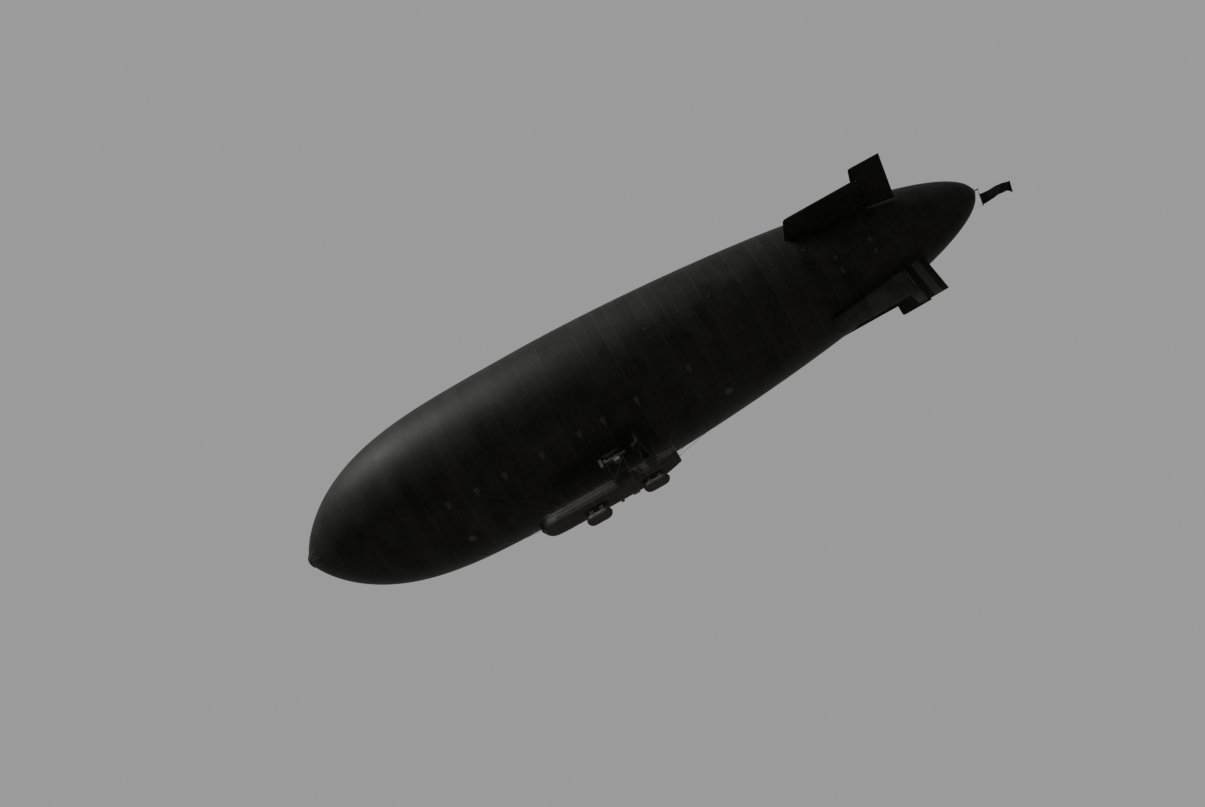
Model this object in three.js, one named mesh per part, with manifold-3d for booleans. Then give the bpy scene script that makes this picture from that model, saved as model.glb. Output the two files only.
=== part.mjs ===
import * as THREE from 'three';
import { mergeVertices } from 'three/addons/utils/BufferGeometryUtils.js';
import Module from 'manifold-3d';

// A two-engined non-rigid training airship of the 1920s, as a half-size model.
// Millimetres. X runs aft along the hull, Y to starboard, Z up, and the origin
// is at the hull's centre of lift. Lengths named "aft" count from the nose tip.

// The hull is a gas-tight fabric skin, round in section.
const HULL_LENGTH = 29850;
const HULL_RADIUS = 3330;
const WIDEST_AT = 0.377;          // share of the length, from the nose
const NOSE_FULLNESS = [4.04, 0.754];
const TAIL_FULLNESS = [1.68, 0.5];
const LIFT_CENTRE = 13450;        // aft of the nose tip
const SKIN = 10;
const SIDES = 40;
const GAP = 0.3;                  // between pieces that touch
const NOSE_OPENING = 170;

// The fins, and the surfaces hinged behind them.
const FIN_FRONT = 22400;          // at a radius of 3000
const STABILIZER_RAKE = 0.25;
const FIN_ROOT = 1500;            // inside the hull, cut away there
const HINGE_AT = 25710;
const FIN_HALF = 78;
const NOSE_HALF = 60;             // half thickness of a surface at its hinge
const HINGE_SLOT = 14;
const ELEVATOR_END = 26830;
const RUDDER_END = 26670;
const ELEVATOR_HORN = 25480;      // front edge of the balance horn
const RUDDER_HORN = 25400;
const HULL_CLEAR = 75;
const PIN_RADIUS = 14;
const PIN_BORE = 14.7;
const STABILIZER_TIP = 3480;
const ELEVATOR_TIP = 4090;
const KEEL_FIN_TIP = 3350;
const RUDDER_TIP = 3970;
const TOP_FIN_TIP = 3400;

// The car, an open boat of plywood on ash frames.
const GUNWALE = -4450;
const KEEL = -5180;
const WALL = 18;
const RAIL = 30;
const CAR_HALF = 375;
const FLOOR_TOP = -5060;
const FLOOR_BOARD = 20;

// The two engines on their outriggers.
const ENGINE_Y = 950;
const SHAFT_Z = -4130;
const BED_TOP = -4230;
const PROPELLER_AT = 13060;
const PROPELLER_RADIUS = 600;
const SHAFT_RADIUS = 16;
const HUB_BORE = 16.9;
const PARKED = 49;                // degrees a parked blade stands above level

const wasm = await Module();
wasm.setup();
const { Manifold, Mesh } = wasm;

const dope = { color: 0x5b5c5a, roughness: 0.62, metalness: 0.0 };
const wood = { color: 0x6a4a2c, roughness: 0.5, metalness: 0.0 };
const steel = { color: 0x70747a, roughness: 0.35, metalness: 1.0 };
const glass = { color: 0xb8c8c8, roughness: 0.05, metalness: 0.0 };
const canvas = { color: 0x4d4a40, roughness: 0.85, metalness: 0.0 };

const airship = new THREE.Group();

// Shape tools

const at = (aft) => aft - LIFT_CENTRE;

function hullRadius(aft, segmentsFlat = true) {
  const widest = WIDEST_AT * HULL_LENGTH;
  const flat = segmentsFlat ? Math.cos(Math.PI / SIDES) : 1;
  if (aft < widest) {
    const [a, b] = NOSE_FULLNESS;
    return flat * HULL_RADIUS * (1 - (1 - Math.max(aft, 0) / widest) ** a) ** b;
  }
  const [a, b] = TAIL_FULLNESS;
  const w = Math.min((aft - widest) / (HULL_LENGTH - widest), 1);
  return flat * HULL_RADIUS * (1 - w ** a) ** b;
}

function solid(geometry) {
  const bare = geometry.clone();
  bare.deleteAttribute('normal');
  bare.deleteAttribute('uv');
  const merged = mergeVertices(bare, 1e-3);
  const p = merged.attributes.position;
  const kept = [];
  let volume = 0;
  for (let i = 0; i < merged.index.count; i += 3) {
    const t = [0, 1, 2].map((k) => merged.index.getX(i + k));
    if (t[0] === t[1] || t[1] === t[2] || t[2] === t[0]) continue;
    kept.push(t);
    const [a, b, c] = t.map((k) => new THREE.Vector3().fromBufferAttribute(p, k));
    volume += a.dot(b.cross(c));
  }
  if (volume < 0) kept.forEach((t) => t.reverse());
  return new Manifold(new Mesh({
    numProp: 3,
    vertProperties: new Float32Array(p.array),
    triVerts: new Uint32Array(kept.flat()),
  }));
}

function add(name, look, body) {
  const { vertProperties, triVerts } = body.getMesh();
  const geometry = new THREE.BufferGeometry();
  geometry.setAttribute('position', new THREE.BufferAttribute(vertProperties, 3));
  geometry.setIndex(new THREE.BufferAttribute(triVerts, 1));
  geometry.computeVertexNormals();
  const mesh = new THREE.Mesh(geometry, new THREE.MeshStandardMaterial(look));
  mesh.name = name;
  airship.add(mesh);
}

const union = (bodies) => bodies.reduce((a, b) => a.add(b));

function box(length, width, height, x, y, z, tiltX = 0) {
  const g = new THREE.BoxGeometry(length, width, height);
  g.rotateX(tiltX);
  g.translate(x, y, z);
  return solid(g);
}

function span(x0, x1, y0, y1, z0, z1) {
  return box(x1 - x0, y1 - y0, z1 - z0, (x0 + x1) / 2, (y0 + y1) / 2, (z0 + z1) / 2);
}

function rod(a, b, radius, sides = 6) {
  const from = new THREE.Vector3(...a);
  const to = new THREE.Vector3(...b);
  const g = new THREE.CylinderGeometry(radius, radius, from.distanceTo(to), sides);
  const turn = new THREE.Quaternion().setFromUnitVectors(
    new THREE.Vector3(0, 1, 0), to.clone().sub(from).normalize());
  g.applyQuaternion(turn);
  g.translate(...from.add(to).multiplyScalar(0.5).toArray());
  return solid(g);
}

// A round body about a line along X; each point is [x, radius].
function turned(points, sides, y = 0, z = 0) {
  const profile = points.map(([x, r]) => new THREE.Vector2(r, x));
  const g = new THREE.LatheGeometry(profile, sides, Math.PI / sides);
  g.rotateZ(-Math.PI / 2);
  g.translate(0, y, z);
  return solid(g);
}

// A skin over rings of points, each ring closed flat at the two ends.
function loft(rings) {
  const count = rings[0].length;
  const triangles = [];
  for (let i = 0; i + 1 < rings.length; i += 1) {
    for (let k = 0; k < count; k += 1) {
      const a = i * count + k;
      const b = i * count + (k + 1) % count;
      triangles.push(a, b, b + count, a, b + count, a + count);
    }
  }
  const last = (rings.length - 1) * count;
  for (let k = 1; k + 1 < count; k += 1) {
    triangles.push(0, k + 1, k, last, last + k, last + k + 1);
  }
  const g = new THREE.BufferGeometry();
  g.setAttribute('position', new THREE.Float32BufferAttribute(rings.flat(2), 3));
  g.setIndex(triangles);
  return solid(g);
}

// The hull

const STATIONS = [0.0008, 0.003, 0.008, 0.017, 0.03, 0.05, 0.078, 0.115, 0.16, 0.21, 0.28,
  0.377, 0.46, 0.54, 0.62, 0.69, 0.76, 0.82, 0.87, 0.91, 0.94, 0.965, 0.983, 0.994, 0.9988];

function hullBody(offset) {
  const side = STATIONS.map((s) => {
    const aft = s * HULL_LENGTH;
    return [at(aft), hullRadius(aft, false) + offset];
  });
  return turned([[at(-offset), 0], ...side, [at(HULL_LENGTH + offset), 0]], SIDES);
}

const clearOfHull = hullBody(GAP);
const noseHole = turned([[at(-50), 0], [at(-50), NOSE_OPENING],
  [at(250), NOSE_OPENING], [at(250), 0]], 24);
add('envelope', dope, hullBody(0).subtract(hullBody(-SKIN)).subtract(noseHole));

// A stiff cap closes the nose and takes the mooring line on its flat face.
const noseCap = turned([[at(-26), 0], [at(-26), 110], [at(-12), 150], [at(34), 240],
  [at(84), 300], [at(160), 300], [at(160), 0]], 24);
add('nose_cap', steel, noseCap.subtract(clearOfHull));

// Gas valves stand on the back and air valves under the belly.
const VALVES = [
  { name: 'fore_gas_valve', aft: 9200, radius: 250, height: 70, up: 1 },
  { name: 'aft_gas_valve', aft: 18600, radius: 250, height: 70, up: 1 },
  { name: 'fore_air_valve', aft: 6400, radius: 170, height: 50, up: -1 },
  { name: 'aft_air_valve', aft: 17600, radius: 170, height: 50, up: -1 },
];
for (const { name, aft, radius, height, up } of VALVES) {
  const g = new THREE.CylinderGeometry(radius * 0.8, radius, height + 120, 20);
  g.rotateX(up * Math.PI / 2);
  g.translate(at(aft), 0, up * (hullRadius(aft) + height / 2 - 60));
  add(name, steel, solid(g).subtract(clearOfHull));
}

// Tail end cap with the short staff that the flag streams from; its foot leans forward.
const STAFF_X = at(HULL_LENGTH) + 170;
const STAFF_LEAN = 0.28;
const STAFF_RADIUS = 12;
const FLAG_TOP = -310;
const FLAG_HEIGHT = 630;
const FLAG_LENGTH = 1400;
const FLAG_THICK = 8;
const leaning = (x, z) => [x + STAFF_LEAN * z, 0, z];
const tailCap = turned([[at(HULL_LENGTH - 60), 0], [at(HULL_LENGTH - 60), 190],
  [at(HULL_LENGTH + 12), 120], [at(HULL_LENGTH + 24), 0]], 20);
const staff = union([
  tailCap.subtract(clearOfHull),
  rod([at(HULL_LENGTH) + 10, 0, 0], [STAFF_X + 30, 0, 0], 24, 10),
  rod(leaning(STAFF_X, 20), leaning(STAFF_X, FLAG_TOP - FLAG_HEIGHT - 40), STAFF_RADIUS, 8),
]);
add('tail_staff', steel, staff);

// The flag is one cloth in shallow waves, and its free end curls to starboard.
const FLAG_STEPS = 28;
const FLAG_REACH = 0.93;          // share of its length, once it waves
const FLAG_WAVE = 50;
const FLAG_CURL = 160;
const flagEdge = [];
for (let i = 0; i <= FLAG_STEPS; i += 1) {
  const s = i / FLAG_STEPS;
  const x = STAFF_X + STAFF_RADIUS + 1 + s * FLAG_LENGTH * FLAG_REACH;
  const curl = FLAG_CURL * Math.max((s - 0.85) / 0.15, 0) ** 2;
  flagEdge.push([x, FLAG_WAVE * s ** 0.6 * Math.sin(s * 8.4) + curl]);
}
const flagShape = new THREE.Shape([
  ...flagEdge.map(([x, y]) => new THREE.Vector2(x, y + FLAG_THICK / 2)),
  ...flagEdge.toReversed().map(([x, y]) => new THREE.Vector2(x, y - FLAG_THICK / 2)),
]);
const flag = new THREE.ExtrudeGeometry(flagShape, { depth: FLAG_HEIGHT, bevelEnabled: false });
flag.translate(0, 0, FLAG_TOP - FLAG_HEIGHT);
flag.applyMatrix4(new THREE.Matrix4().makeShear(0, 0, 0, 0, STAFF_LEAN, 0));
add('flag', canvas, solid(flag));

// The car

// One row per frame of the car: aft, keel height and half width at the gunwale.
const FRAMES = [
  [8930, -4830, 60],
  [8990, -4890, 160],
  [9130, -5068, 265],
  [9296, -5152, 325],
  [9600, KEEL, 366],
  [10200, KEEL, CAR_HALF],
  [13650, KEEL, CAR_HALF],
  [14080, -5115, 372],
  [14775, -4890, 352],
];
// The section's corners, as shares of the half width and of the height over the keel.
const SECTION = [[1, 1], [0.97, 0.36], [0.8, 0.144], [0.56, 0]];

function carBody(offset, top = GUNWALE) {
  return loft(FRAMES.map(([aft, keel, half], i) => {
    const end = i === 0 ? -1 : Number(i === FRAMES.length - 1);
    const bottom = keel - offset;
    const side = SECTION.map(([out, up]) => [at(aft + end * offset), out * (half + offset),
      up === 1 ? top : bottom + up * (GUNWALE - bottom)]);
    return [...side, ...side.toReversed().map(([x, y, z]) => [x, -y, z])];
  }));
}

const WELLS = [
  [9850, 12150],
  [12650, 14250],
];
const WELL_HALF = 305;
const DECK = 16;
let car = carBody(0).subtract(carBody(-WALL, GUNWALE - DECK));
for (const [front, back] of WELLS) {
  car = car.subtract(span(at(front), at(back), -WELL_HALF, WELL_HALF, GUNWALE - 60, GUNWALE + 60));
}
add('car_hull', dope, car);
const clearOfCar = carBody(GAP, GUNWALE + GAP);

// Floor boards on cross bearers.
const floorPieces = [span(at(9750), at(13650), -250, 250, FLOOR_TOP - FLOOR_BOARD, FLOOR_TOP)];
for (const aft of [9850, 11000, 12200, 13400]) {
  floorPieces.push(span(at(aft) - 20, at(aft) + 20, -190, 190, KEEL + WALL + GAP,
    FLOOR_TOP - FLOOR_BOARD / 2));
}
add('car_floor', wood, union(floorPieces));

// Seats across the car, one row per bench.
const BENCHES = [
  { name: 'pilot_bench', aft: 10600 },
  { name: 'crew_bench', aft: 11700 },
  { name: 'engineer_bench', aft: 13450 },
];
const SEAT_TOP = FLOOR_TOP + 215;
for (const { name, aft } of BENCHES) {
  const front = at(aft) - 190;
  const back = at(aft) + 10;
  add(name, wood, union([
    span(front, back + 20, -225, 225, SEAT_TOP - 24, SEAT_TOP),
    span(back, back + 20, -225, 225, FLOOR_TOP + GAP, SEAT_TOP + 230),
    span(front + 20, front + 40, -200, 200, FLOOR_TOP + GAP, SEAT_TOP - 10),
  ]));
}

// Hand wheels that the two pilots steer with, each on its own post.
const WHEELS = [
  { name: 'rudder_wheel', aft: 10120, y: 110, turn: Math.PI / 2 },
  { name: 'elevator_wheel', aft: 10330, y: -215, turn: 0 },
];
const WHEEL_Z = -4700;
for (const { name, aft, y, turn } of WHEELS) {
  const rim = new THREE.TorusGeometry(120, 9, 6, 20);
  rim.rotateX(Math.PI / 2);
  rim.rotateZ(turn);
  rim.translate(at(aft), y, WHEEL_Z);
  const out = [at(aft) - 30 * Math.sin(turn), y + 25 * Math.cos(turn)];
  const spoke = turn ? [0, 1] : [1, 0];
  add(name, wood, union([
    solid(rim),
    rod([at(aft) - 120 * spoke[0], y - 120 * spoke[1], WHEEL_Z],
      [at(aft) + 120 * spoke[0], y + 120 * spoke[1], WHEEL_Z], 6, 6),
    rod([at(aft), y, WHEEL_Z - 120], [at(aft), y, WHEEL_Z + 120], 6, 6),
    rod([at(aft), y, WHEEL_Z], [...out, WHEEL_Z], 12, 8),
    rod([...out, WHEEL_Z + 12], [...out, FLOOR_TOP + GAP], 14, 8),
  ]));
}

const boardTop = GUNWALE - DECK - GAP;
add('instrument_board', wood, span(at(9815), at(9835), -270, 270, boardTop - 250, boardTop));

add('fuel_tank', steel, rod([at(12400), -230, FLOOR_TOP + GAP + 170],
  [at(12400), 230, FLOOR_TOP + GAP + 170], 170, 20));

// Windscreens bent round the front of each cockpit.
const SCREENS = [
  { name: 'fore_windscreen', aft: 9790 },
  { name: 'aft_windscreen', aft: 12600 },
];
for (const { name, aft } of SCREENS) {
  const outer = [[300, 60], [240, -60], [120, -110]];
  const line = [...outer, ...outer.toReversed().map(([y, x]) => [-y, x])];
  const shape = new THREE.Shape([
    ...line.map(([y, x]) => new THREE.Vector2(at(aft) + x, y)),
    ...line.toReversed().map(([y, x]) => new THREE.Vector2(at(aft) + x + 12, y * 0.97)),
  ]);
  const g = new THREE.ExtrudeGeometry(shape, { depth: 170, bevelEnabled: false });
  g.translate(0, 0, GUNWALE + GAP);
  add(name, glass, solid(g));
}

// Air-filled bumper bags, which the car lands on, each under a wooden rack.
const BAGS = [
  { name: 'fore', aft: 11125, z: -5540, half: 520, radius: 228 },
  { name: 'aft', aft: 13580, z: -5450, half: 525, radius: 218 },
];
for (const { name, aft, z, half, radius } of BAGS) {
  const round = [[-1, 0], [-0.97, 0.42], [-0.86, 0.78], [-0.68, 0.98], [-0.5, 1]];
  const outline = (grow) => [...round, ...round.toReversed().map(([x, r]) => [-x, r])]
    .map(([x, r]) => [at(aft) + x * half, r * (radius + grow)]);
  add(`${name}_bumper_bag`, canvas, turned(outline(0), 20, 0, z));
  const rack = [span(at(aft) - 330, at(aft) + 330, -150, 150, KEEL - 24, KEEL - GAP)];
  for (const x of [at(aft) - 240, at(aft) + 240]) {
    rack.push(span(x - 18, x + 18, -175, 175, z + 40, KEEL - 10));
  }
  add(`${name}_bag_rack`, wood, union(rack).subtract(turned(outline(GAP), 20, 0, z)));
}

// The car hangs from cables that fan out to patches on the hull's lower flanks.
// One row per cable: where it leaves the gunwale, and its patch.
const CABLES = [
  [9620, 6300],
  [9950, 7500],
  [10400, 8700],
  [11150, 10300],
  [11950, 11900],
  [12900, 12930],
  [14000, 14400],
  [14640, 16700],
];
const PATCH_Y = 1650;
const CABLE_RADIUS = 7;
for (const [side, sign] of [['port', -1], ['starboard', 1]]) {
  const railY = sign * (CAR_HALF + GAP + RAIL / 2);
  const pieces = [box(14700 - 9500, RAIL, RAIL, at((14700 + 9500) / 2), railY,
    GUNWALE - RAIL / 2)];
  for (const [low, high] of CABLES) {
    const r = hullRadius(high);
    const angle = Math.asin(PATCH_Y / r);
    const centre = r - 20;
    const y = sign * centre * Math.sin(angle);
    const z = -centre * Math.cos(angle);
    pieces.push(box(230, 330, 70, at(high), y, z, sign * angle));
    pieces.push(rod([at(low), railY, GUNWALE - RAIL / 2], [at(high), y, z], CABLE_RADIUS));
  }
  add(`${side}_suspension`, steel, union(pieces).subtract(clearOfHull).subtract(clearOfCar));
}

// The engines

const STRUT_RADIUS = 17;
const RAIL_GAUGE = 80;
const BED_FRONT = 12160;
const BED_BACK = 12990;
const BED_RAIL = 35;
for (const [side, sign] of [['port', -1], ['starboard', 1]]) {
  const y = sign * ENGINE_Y;
  const across = (offset) => y + sign * offset;
  const railMiddle = BED_TOP - BED_RAIL / 2;

  const bed = [];
  for (const offset of [-RAIL_GAUGE, RAIL_GAUGE]) {
    bed.push(box(BED_BACK - BED_FRONT, 30, BED_RAIL, at((BED_FRONT + BED_BACK) / 2),
      across(offset), railMiddle));
  }
  for (const aft of [12260, 12930]) {
    bed.push(box(36, 2 * RAIL_GAUGE + 30, BED_RAIL - 4, at(aft), y, railMiddle));
    bed.push(rod([at(aft), sign * 340, GUNWALE - 130], [at(aft), across(-RAIL_GAUGE), railMiddle],
      STRUT_RADIUS, 8));
    bed.push(rod([at(aft), sign * 290, KEEL + 150], [at(aft), across(RAIL_GAUGE), railMiddle],
      STRUT_RADIUS, 8));
    bed.push(box(90, 24, 150, at(aft), sign * 362, GUNWALE - 140));
    bed.push(box(90, 60, 120, at(aft), sign * 320, KEEL + 160));
  }
  bed.push(rod([at(12260), sign * 340, GUNWALE - 130], [at(12930), across(-RAIL_GAUGE), railMiddle],
    STRUT_RADIUS * 0.7, 8));
  add(`${side}_outrigger`, steel, union(bed).subtract(clearOfCar));

  const bedTop = BED_TOP + GAP;
  const banks = [-1, 1].map((lean) => box(470, 110, 170, at(12500),
    y + lean * 95, SHAFT_Z + 85, -lean * Math.PI / 4));
  const pipes = [-1, 1].map((lean) => rod([at(12240), y + lean * 190, SHAFT_Z + 95],
    [at(12860), y + lean * 190, SHAFT_Z + 95], 24, 8));
  add(`${side}_engine`, steel, union([
    box(530, 190, 24, at(12500), y, bedTop + 12),
    box(510, 150, 180, at(12500), y, SHAFT_Z),
    ...banks,
    ...pipes,
    turned([[at(12745), 0], [at(12745), 74], [at(12930), 42], [at(13000), 38], [at(13000), 0]],
      16, y, SHAFT_Z),
    turned([[at(12980), 0], [at(12980), SHAFT_RADIUS], [at(13125), SHAFT_RADIUS], [at(13125), 0]],
      16, y, SHAFT_Z),
  ]));

  // The radiator stands across the front of the bed, the oil tank hangs under it.
  add(`${side}_radiator`, steel, span(at(12030), at(BED_FRONT) - GAP, y - 125, y + 125,
    -4430, -3990));
  add(`${side}_oil_tank`, steel, span(at(12560), at(12850), y - 105, y + 105,
    -4435, BED_TOP - BED_RAIL - GAP));

  // Each blade is a twisted board; one row per section: radius, half chord, half thickness.
  const SECTIONS = [[20, 26, 24], [120, 40, 20], [300, 58, 13], [480, 52, 8], [590, 30, 5],
    [PROPELLER_RADIUS, 14, 3]];
  const blade = loft(SECTIONS.map(([r, chord, thick]) => {
    const pitch = Math.atan2(300, 2 * Math.PI * Math.max(r, 60) / 2) * sign;
    const ring = [[chord, 0], [0.3 * chord, thick], [-0.7 * chord, thick * 0.7], [-chord, 0],
      [-0.7 * chord, -thick * 0.7], [0.3 * chord, -thick]];
    return ring.map(([c, t]) => [
      at(PROPELLER_AT) + c * Math.sin(pitch) + t * Math.cos(pitch),
      c * Math.cos(pitch) - t * Math.sin(pitch),
      r,
    ]);
  }));
  const hub = turned([[at(PROPELLER_AT) - 42, 0], [at(PROPELLER_AT) - 42, 52],
    [at(PROPELLER_AT) + 42, 52], [at(PROPELLER_AT) + 42, 0]], 16);
  const bore = turned([[at(PROPELLER_AT) - 80, 0], [at(PROPELLER_AT) - 80, HUB_BORE],
    [at(PROPELLER_AT) + 80, HUB_BORE], [at(PROPELLER_AT) + 80, 0]], 16);
  const propeller = union([hub, blade, blade.rotate([180, 0, 0])]).subtract(bore);
  add(`${side}_propeller`, wood, propeller.rotate([PARKED - 90, 0, 0]).translate([0, y, SHAFT_Z]));

  // A scoop behind each propeller feeds air up into the hull's air bags.
  const tube = (radius, reach) => union([
    rod([at(13400) - reach, y, SHAFT_Z], [at(13680), y, SHAFT_Z], radius, 16),
    rod([at(13680), y, SHAFT_Z - radius], [at(13680), y, -2900], radius, 16),
  ]);
  add(`${side}_air_scoop`, dope, tube(130, 0).subtract(tube(118, 20)).subtract(clearOfHull));
}

// The tail

// A fin stands out along +Y; rows hold the radius, front edge and half thickness.
function fin(tip, rear, rake) {
  const front = (r) => FIN_FRONT + rake * (r - 3000);
  const rows = [[FIN_ROOT, front(FIN_ROOT), FIN_HALF], [tip - 70, front(tip - 70), FIN_HALF * 0.8],
    [tip, front(tip) + 50, FIN_HALF * 0.35]];
  return loft(rows.map(([r, edge, half]) => [
    [at(edge), r, 0], [at(edge + 240), r, half], [at(rear), r, half],
    [at(rear), r, -half], [at(edge + 240), r, -half],
  ])).subtract(clearOfHull);
}

const REAR = HINGE_AT - NOSE_HALF - HINGE_SLOT;
const LUG_HALF = 18;
const SLOT_SIDE = 10;
const PIN_REACH = 60;

function lugs(tip) {
  const root = hullRadius(HINGE_AT);
  return [0.2, 0.55, 0.9].map((s) => root + s * (tip - root));
}

function hinged(tip, rake) {
  const body = [fin(tip, REAR, rake)];
  for (const r of lugs(tip)) {
    body.push(span(at(REAR - 30), at(HINGE_AT + 24), r - LUG_HALF, r + LUG_HALF, -22, 22));
    body.push(rod([at(HINGE_AT), r - PIN_REACH, 0], [at(HINGE_AT), r + PIN_REACH, 0],
      PIN_RADIUS, 16));
  }
  return union(body);
}

// A hinged surface, with a balance horn that reaches ahead of the hinge beyond the fin.
function surface(tip, finTip, end, hornFront) {
  const ring = (inner, r, half, thin) => {
    const rows = [[HINGE_AT - NOSE_HALF, -half * 0.5], [HINGE_AT - NOSE_HALF, half * 0.5],
      [HINGE_AT, half], [end, thin], [end, -thin], [HINGE_AT, -half]];
    return rows.map(([aft, z]) => [at(aft), inner ? hullRadius(aft) + HULL_CLEAR : r, z]);
  };
  const horn = (r, half, front) => [[at(front), r, -half * 0.3], [at(front), r, half * 0.3],
    [at(HINGE_AT - 60), r, half], [at(HINGE_AT + 20), r, half], [at(HINGE_AT + 20), r, -half],
    [at(HINGE_AT - 60), r, -half]];
  const blank = union([
    loft([ring(true, 0, NOSE_HALF, 8), ring(false, tip - 50, NOSE_HALF * 0.9, 8),
      ring(false, tip, NOSE_HALF * 0.5, 4)]),
    loft([horn(finTip + 15, NOSE_HALF * 0.9, hornFront - 40),
      horn(tip - 50, NOSE_HALF * 0.9, hornFront + 30), horn(tip, NOSE_HALF * 0.5, hornFront + 60)]),
  ]);
  return lugs(finTip).reduce((body, r) => body
    .subtract(span(at(HINGE_AT - 200), at(HINGE_AT + 48), r - LUG_HALF - SLOT_SIDE,
      r + LUG_HALF + SLOT_SIDE, -200, 200))
    .subtract(rod([at(HINGE_AT), r - PIN_REACH - 10, 0], [at(HINGE_AT), r + PIN_REACH + 10, 0],
      PIN_BORE, 16)), blank);
}

add('top_fin', dope, fin(TOP_FIN_TIP, 26300, 0.25).rotate([90, 0, 0]));
add('bottom_fin', dope, hinged(KEEL_FIN_TIP, 0).rotate([-90, 0, 0]));
add('starboard_stabilizer', dope, hinged(STABILIZER_TIP, STABILIZER_RAKE));
add('port_stabilizer', dope, hinged(STABILIZER_TIP, STABILIZER_RAKE).mirror([0, 1, 0]));
const rudder = surface(RUDDER_TIP, KEEL_FIN_TIP, RUDDER_END, RUDDER_HORN);
add('rudder', dope, rudder.rotate([-90, 0, 0]));
const elevator = surface(ELEVATOR_TIP, STABILIZER_TIP, ELEVATOR_END, ELEVATOR_HORN);
add('starboard_elevator', dope, elevator);
add('port_elevator', dope, elevator.mirror([0, 1, 0]));

export default airship;
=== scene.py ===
# %% [markdown]
# # A two-engined training airship, seen from the ground
#
# The part is a half-size model of a 1920s non-rigid airship: a doped fabric hull,
# an open car hung under it on cables, two engines on outriggers, a cross tail with
# hinged surfaces, and a flag streaming behind. Its solids come from the packed
# frame. This script dresses them: it adds the fine surfaces, the rigging and the
# materials, and it sets the camera and the light.

# %% The frame and the tools
import math

import bmesh
import bpy
from mathutils import Matrix, Vector


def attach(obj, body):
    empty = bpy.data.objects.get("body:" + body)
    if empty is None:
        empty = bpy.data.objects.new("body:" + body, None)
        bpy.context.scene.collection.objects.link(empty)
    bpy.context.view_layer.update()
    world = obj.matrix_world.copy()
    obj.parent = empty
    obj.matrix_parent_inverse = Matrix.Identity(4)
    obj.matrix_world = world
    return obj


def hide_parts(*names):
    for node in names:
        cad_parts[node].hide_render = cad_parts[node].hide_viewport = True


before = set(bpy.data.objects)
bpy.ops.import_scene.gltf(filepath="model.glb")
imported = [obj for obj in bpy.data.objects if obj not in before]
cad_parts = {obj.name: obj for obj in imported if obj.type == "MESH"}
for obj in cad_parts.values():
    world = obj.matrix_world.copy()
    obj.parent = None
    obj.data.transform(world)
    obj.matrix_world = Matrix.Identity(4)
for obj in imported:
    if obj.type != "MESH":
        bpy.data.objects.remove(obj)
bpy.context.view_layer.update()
scene = bpy.context.scene
print("nodes in the frame:", len(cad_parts))

# %% [markdown]
# ## Camera
#
# The photograph looks up at the port side from the ground, 47 degrees from below and
# straight abeam of the middle of the ship. The hull climbs to the right because the
# camera was held tilted. Such a view could be hunted for by hand. Here it is worked
# out: the focal length in pixels, over a picture 1205 pixels wide, gives the lens, and
# three directions (right, up and back) give the turn, because a Blender camera looks
# along its own minus Z. The middle of the hull sits a little off the centre of the
# picture, so the camera is aimed beside it.

# %% Camera
IMAGE_WIDTH_PX = 1205
FOCAL_PX = 1761
FILM_WIDTH_MM = 36
DISTANCE = 69.2
BELOW = math.radians(47.3)
ROLL = math.radians(29.23)
MIDDLE = Vector((1.475, 0, 0))
OFF_CENTRE_PX = (37.6, 25.7)
FAR_CLIP = 1000


def aim_camera():
    eye = MIDDLE - DISTANCE * Vector((0, math.cos(BELOW), math.sin(BELOW)))
    forward = (MIDDLE - eye).normalized()
    level = Vector((1, 0, 0))
    upright = level.cross(forward)
    right = math.cos(ROLL) * level - math.sin(ROLL) * upright
    up = math.sin(ROLL) * level + math.cos(ROLL) * upright
    shift = (right * OFF_CENTRE_PX[0] + up * OFF_CENTRE_PX[1]) / FOCAL_PX
    forward = (forward - shift).normalized()
    right = forward.cross(up).normalized()
    up = right.cross(forward)
    data = bpy.data.cameras.new("photo_camera")
    data.sensor_width = FILM_WIDTH_MM
    data.lens = FOCAL_PX * FILM_WIDTH_MM / IMAGE_WIDTH_PX
    data.clip_end = FAR_CLIP
    camera = bpy.data.objects.new("photo_camera", data)
    turn = Matrix((right, up, -forward)).transposed()
    camera.matrix_world = Matrix.Translation(eye) @ turn.to_4x4()
    scene.collection.objects.link(camera)
    scene.camera = camera
    print("camera: lens %.1f mm, height %.1f m" % (data.lens, eye.z))
    return eye


eye = aim_camera()

# %% [markdown]
# ## Colours and nodes
#
# Each finish below is one Principled shader, with patterns worked out from the place on
# the surface. Image files could do that too, but nodes need none and stay sharp up
# close. A colour is written as an sRGB hex value, as a paint chart gives it, and
# linear() turns it into the linear light that Blender mixes. add() puts in one node
# with its settings and links, so that a pattern reads as a short list of steps.

# %% Colour and node helpers


def linear(code, alpha=1.0):
    """An sRGB hex colour as linear light."""
    parts = [int(code[i:i + 2], 16) / 255 for i in (1, 3, 5)]
    return [p / 12.92 if p < 0.04045 else ((p + 0.055) / 1.055) ** 2.4 for p in parts] + [alpha]


def add(tree, kind, inputs=(), **settings):
    """Adds one node. Inputs are numbers, colours, sockets or nodes, by place or by name,
    and a node stands for its first output."""
    made = tree.nodes.new("ShaderNode" + kind)
    for name, value in settings.items():
        setattr(made, name, value)
    for name, value in inputs.items() if isinstance(inputs, dict) else enumerate(inputs):
        if isinstance(value, bpy.types.Node):
            value = value.outputs[0]
        if isinstance(value, bpy.types.NodeSocket):
            tree.links.new(value, made.inputs[name])
        else:
            made.inputs[name].default_value = value
    return made


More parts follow.
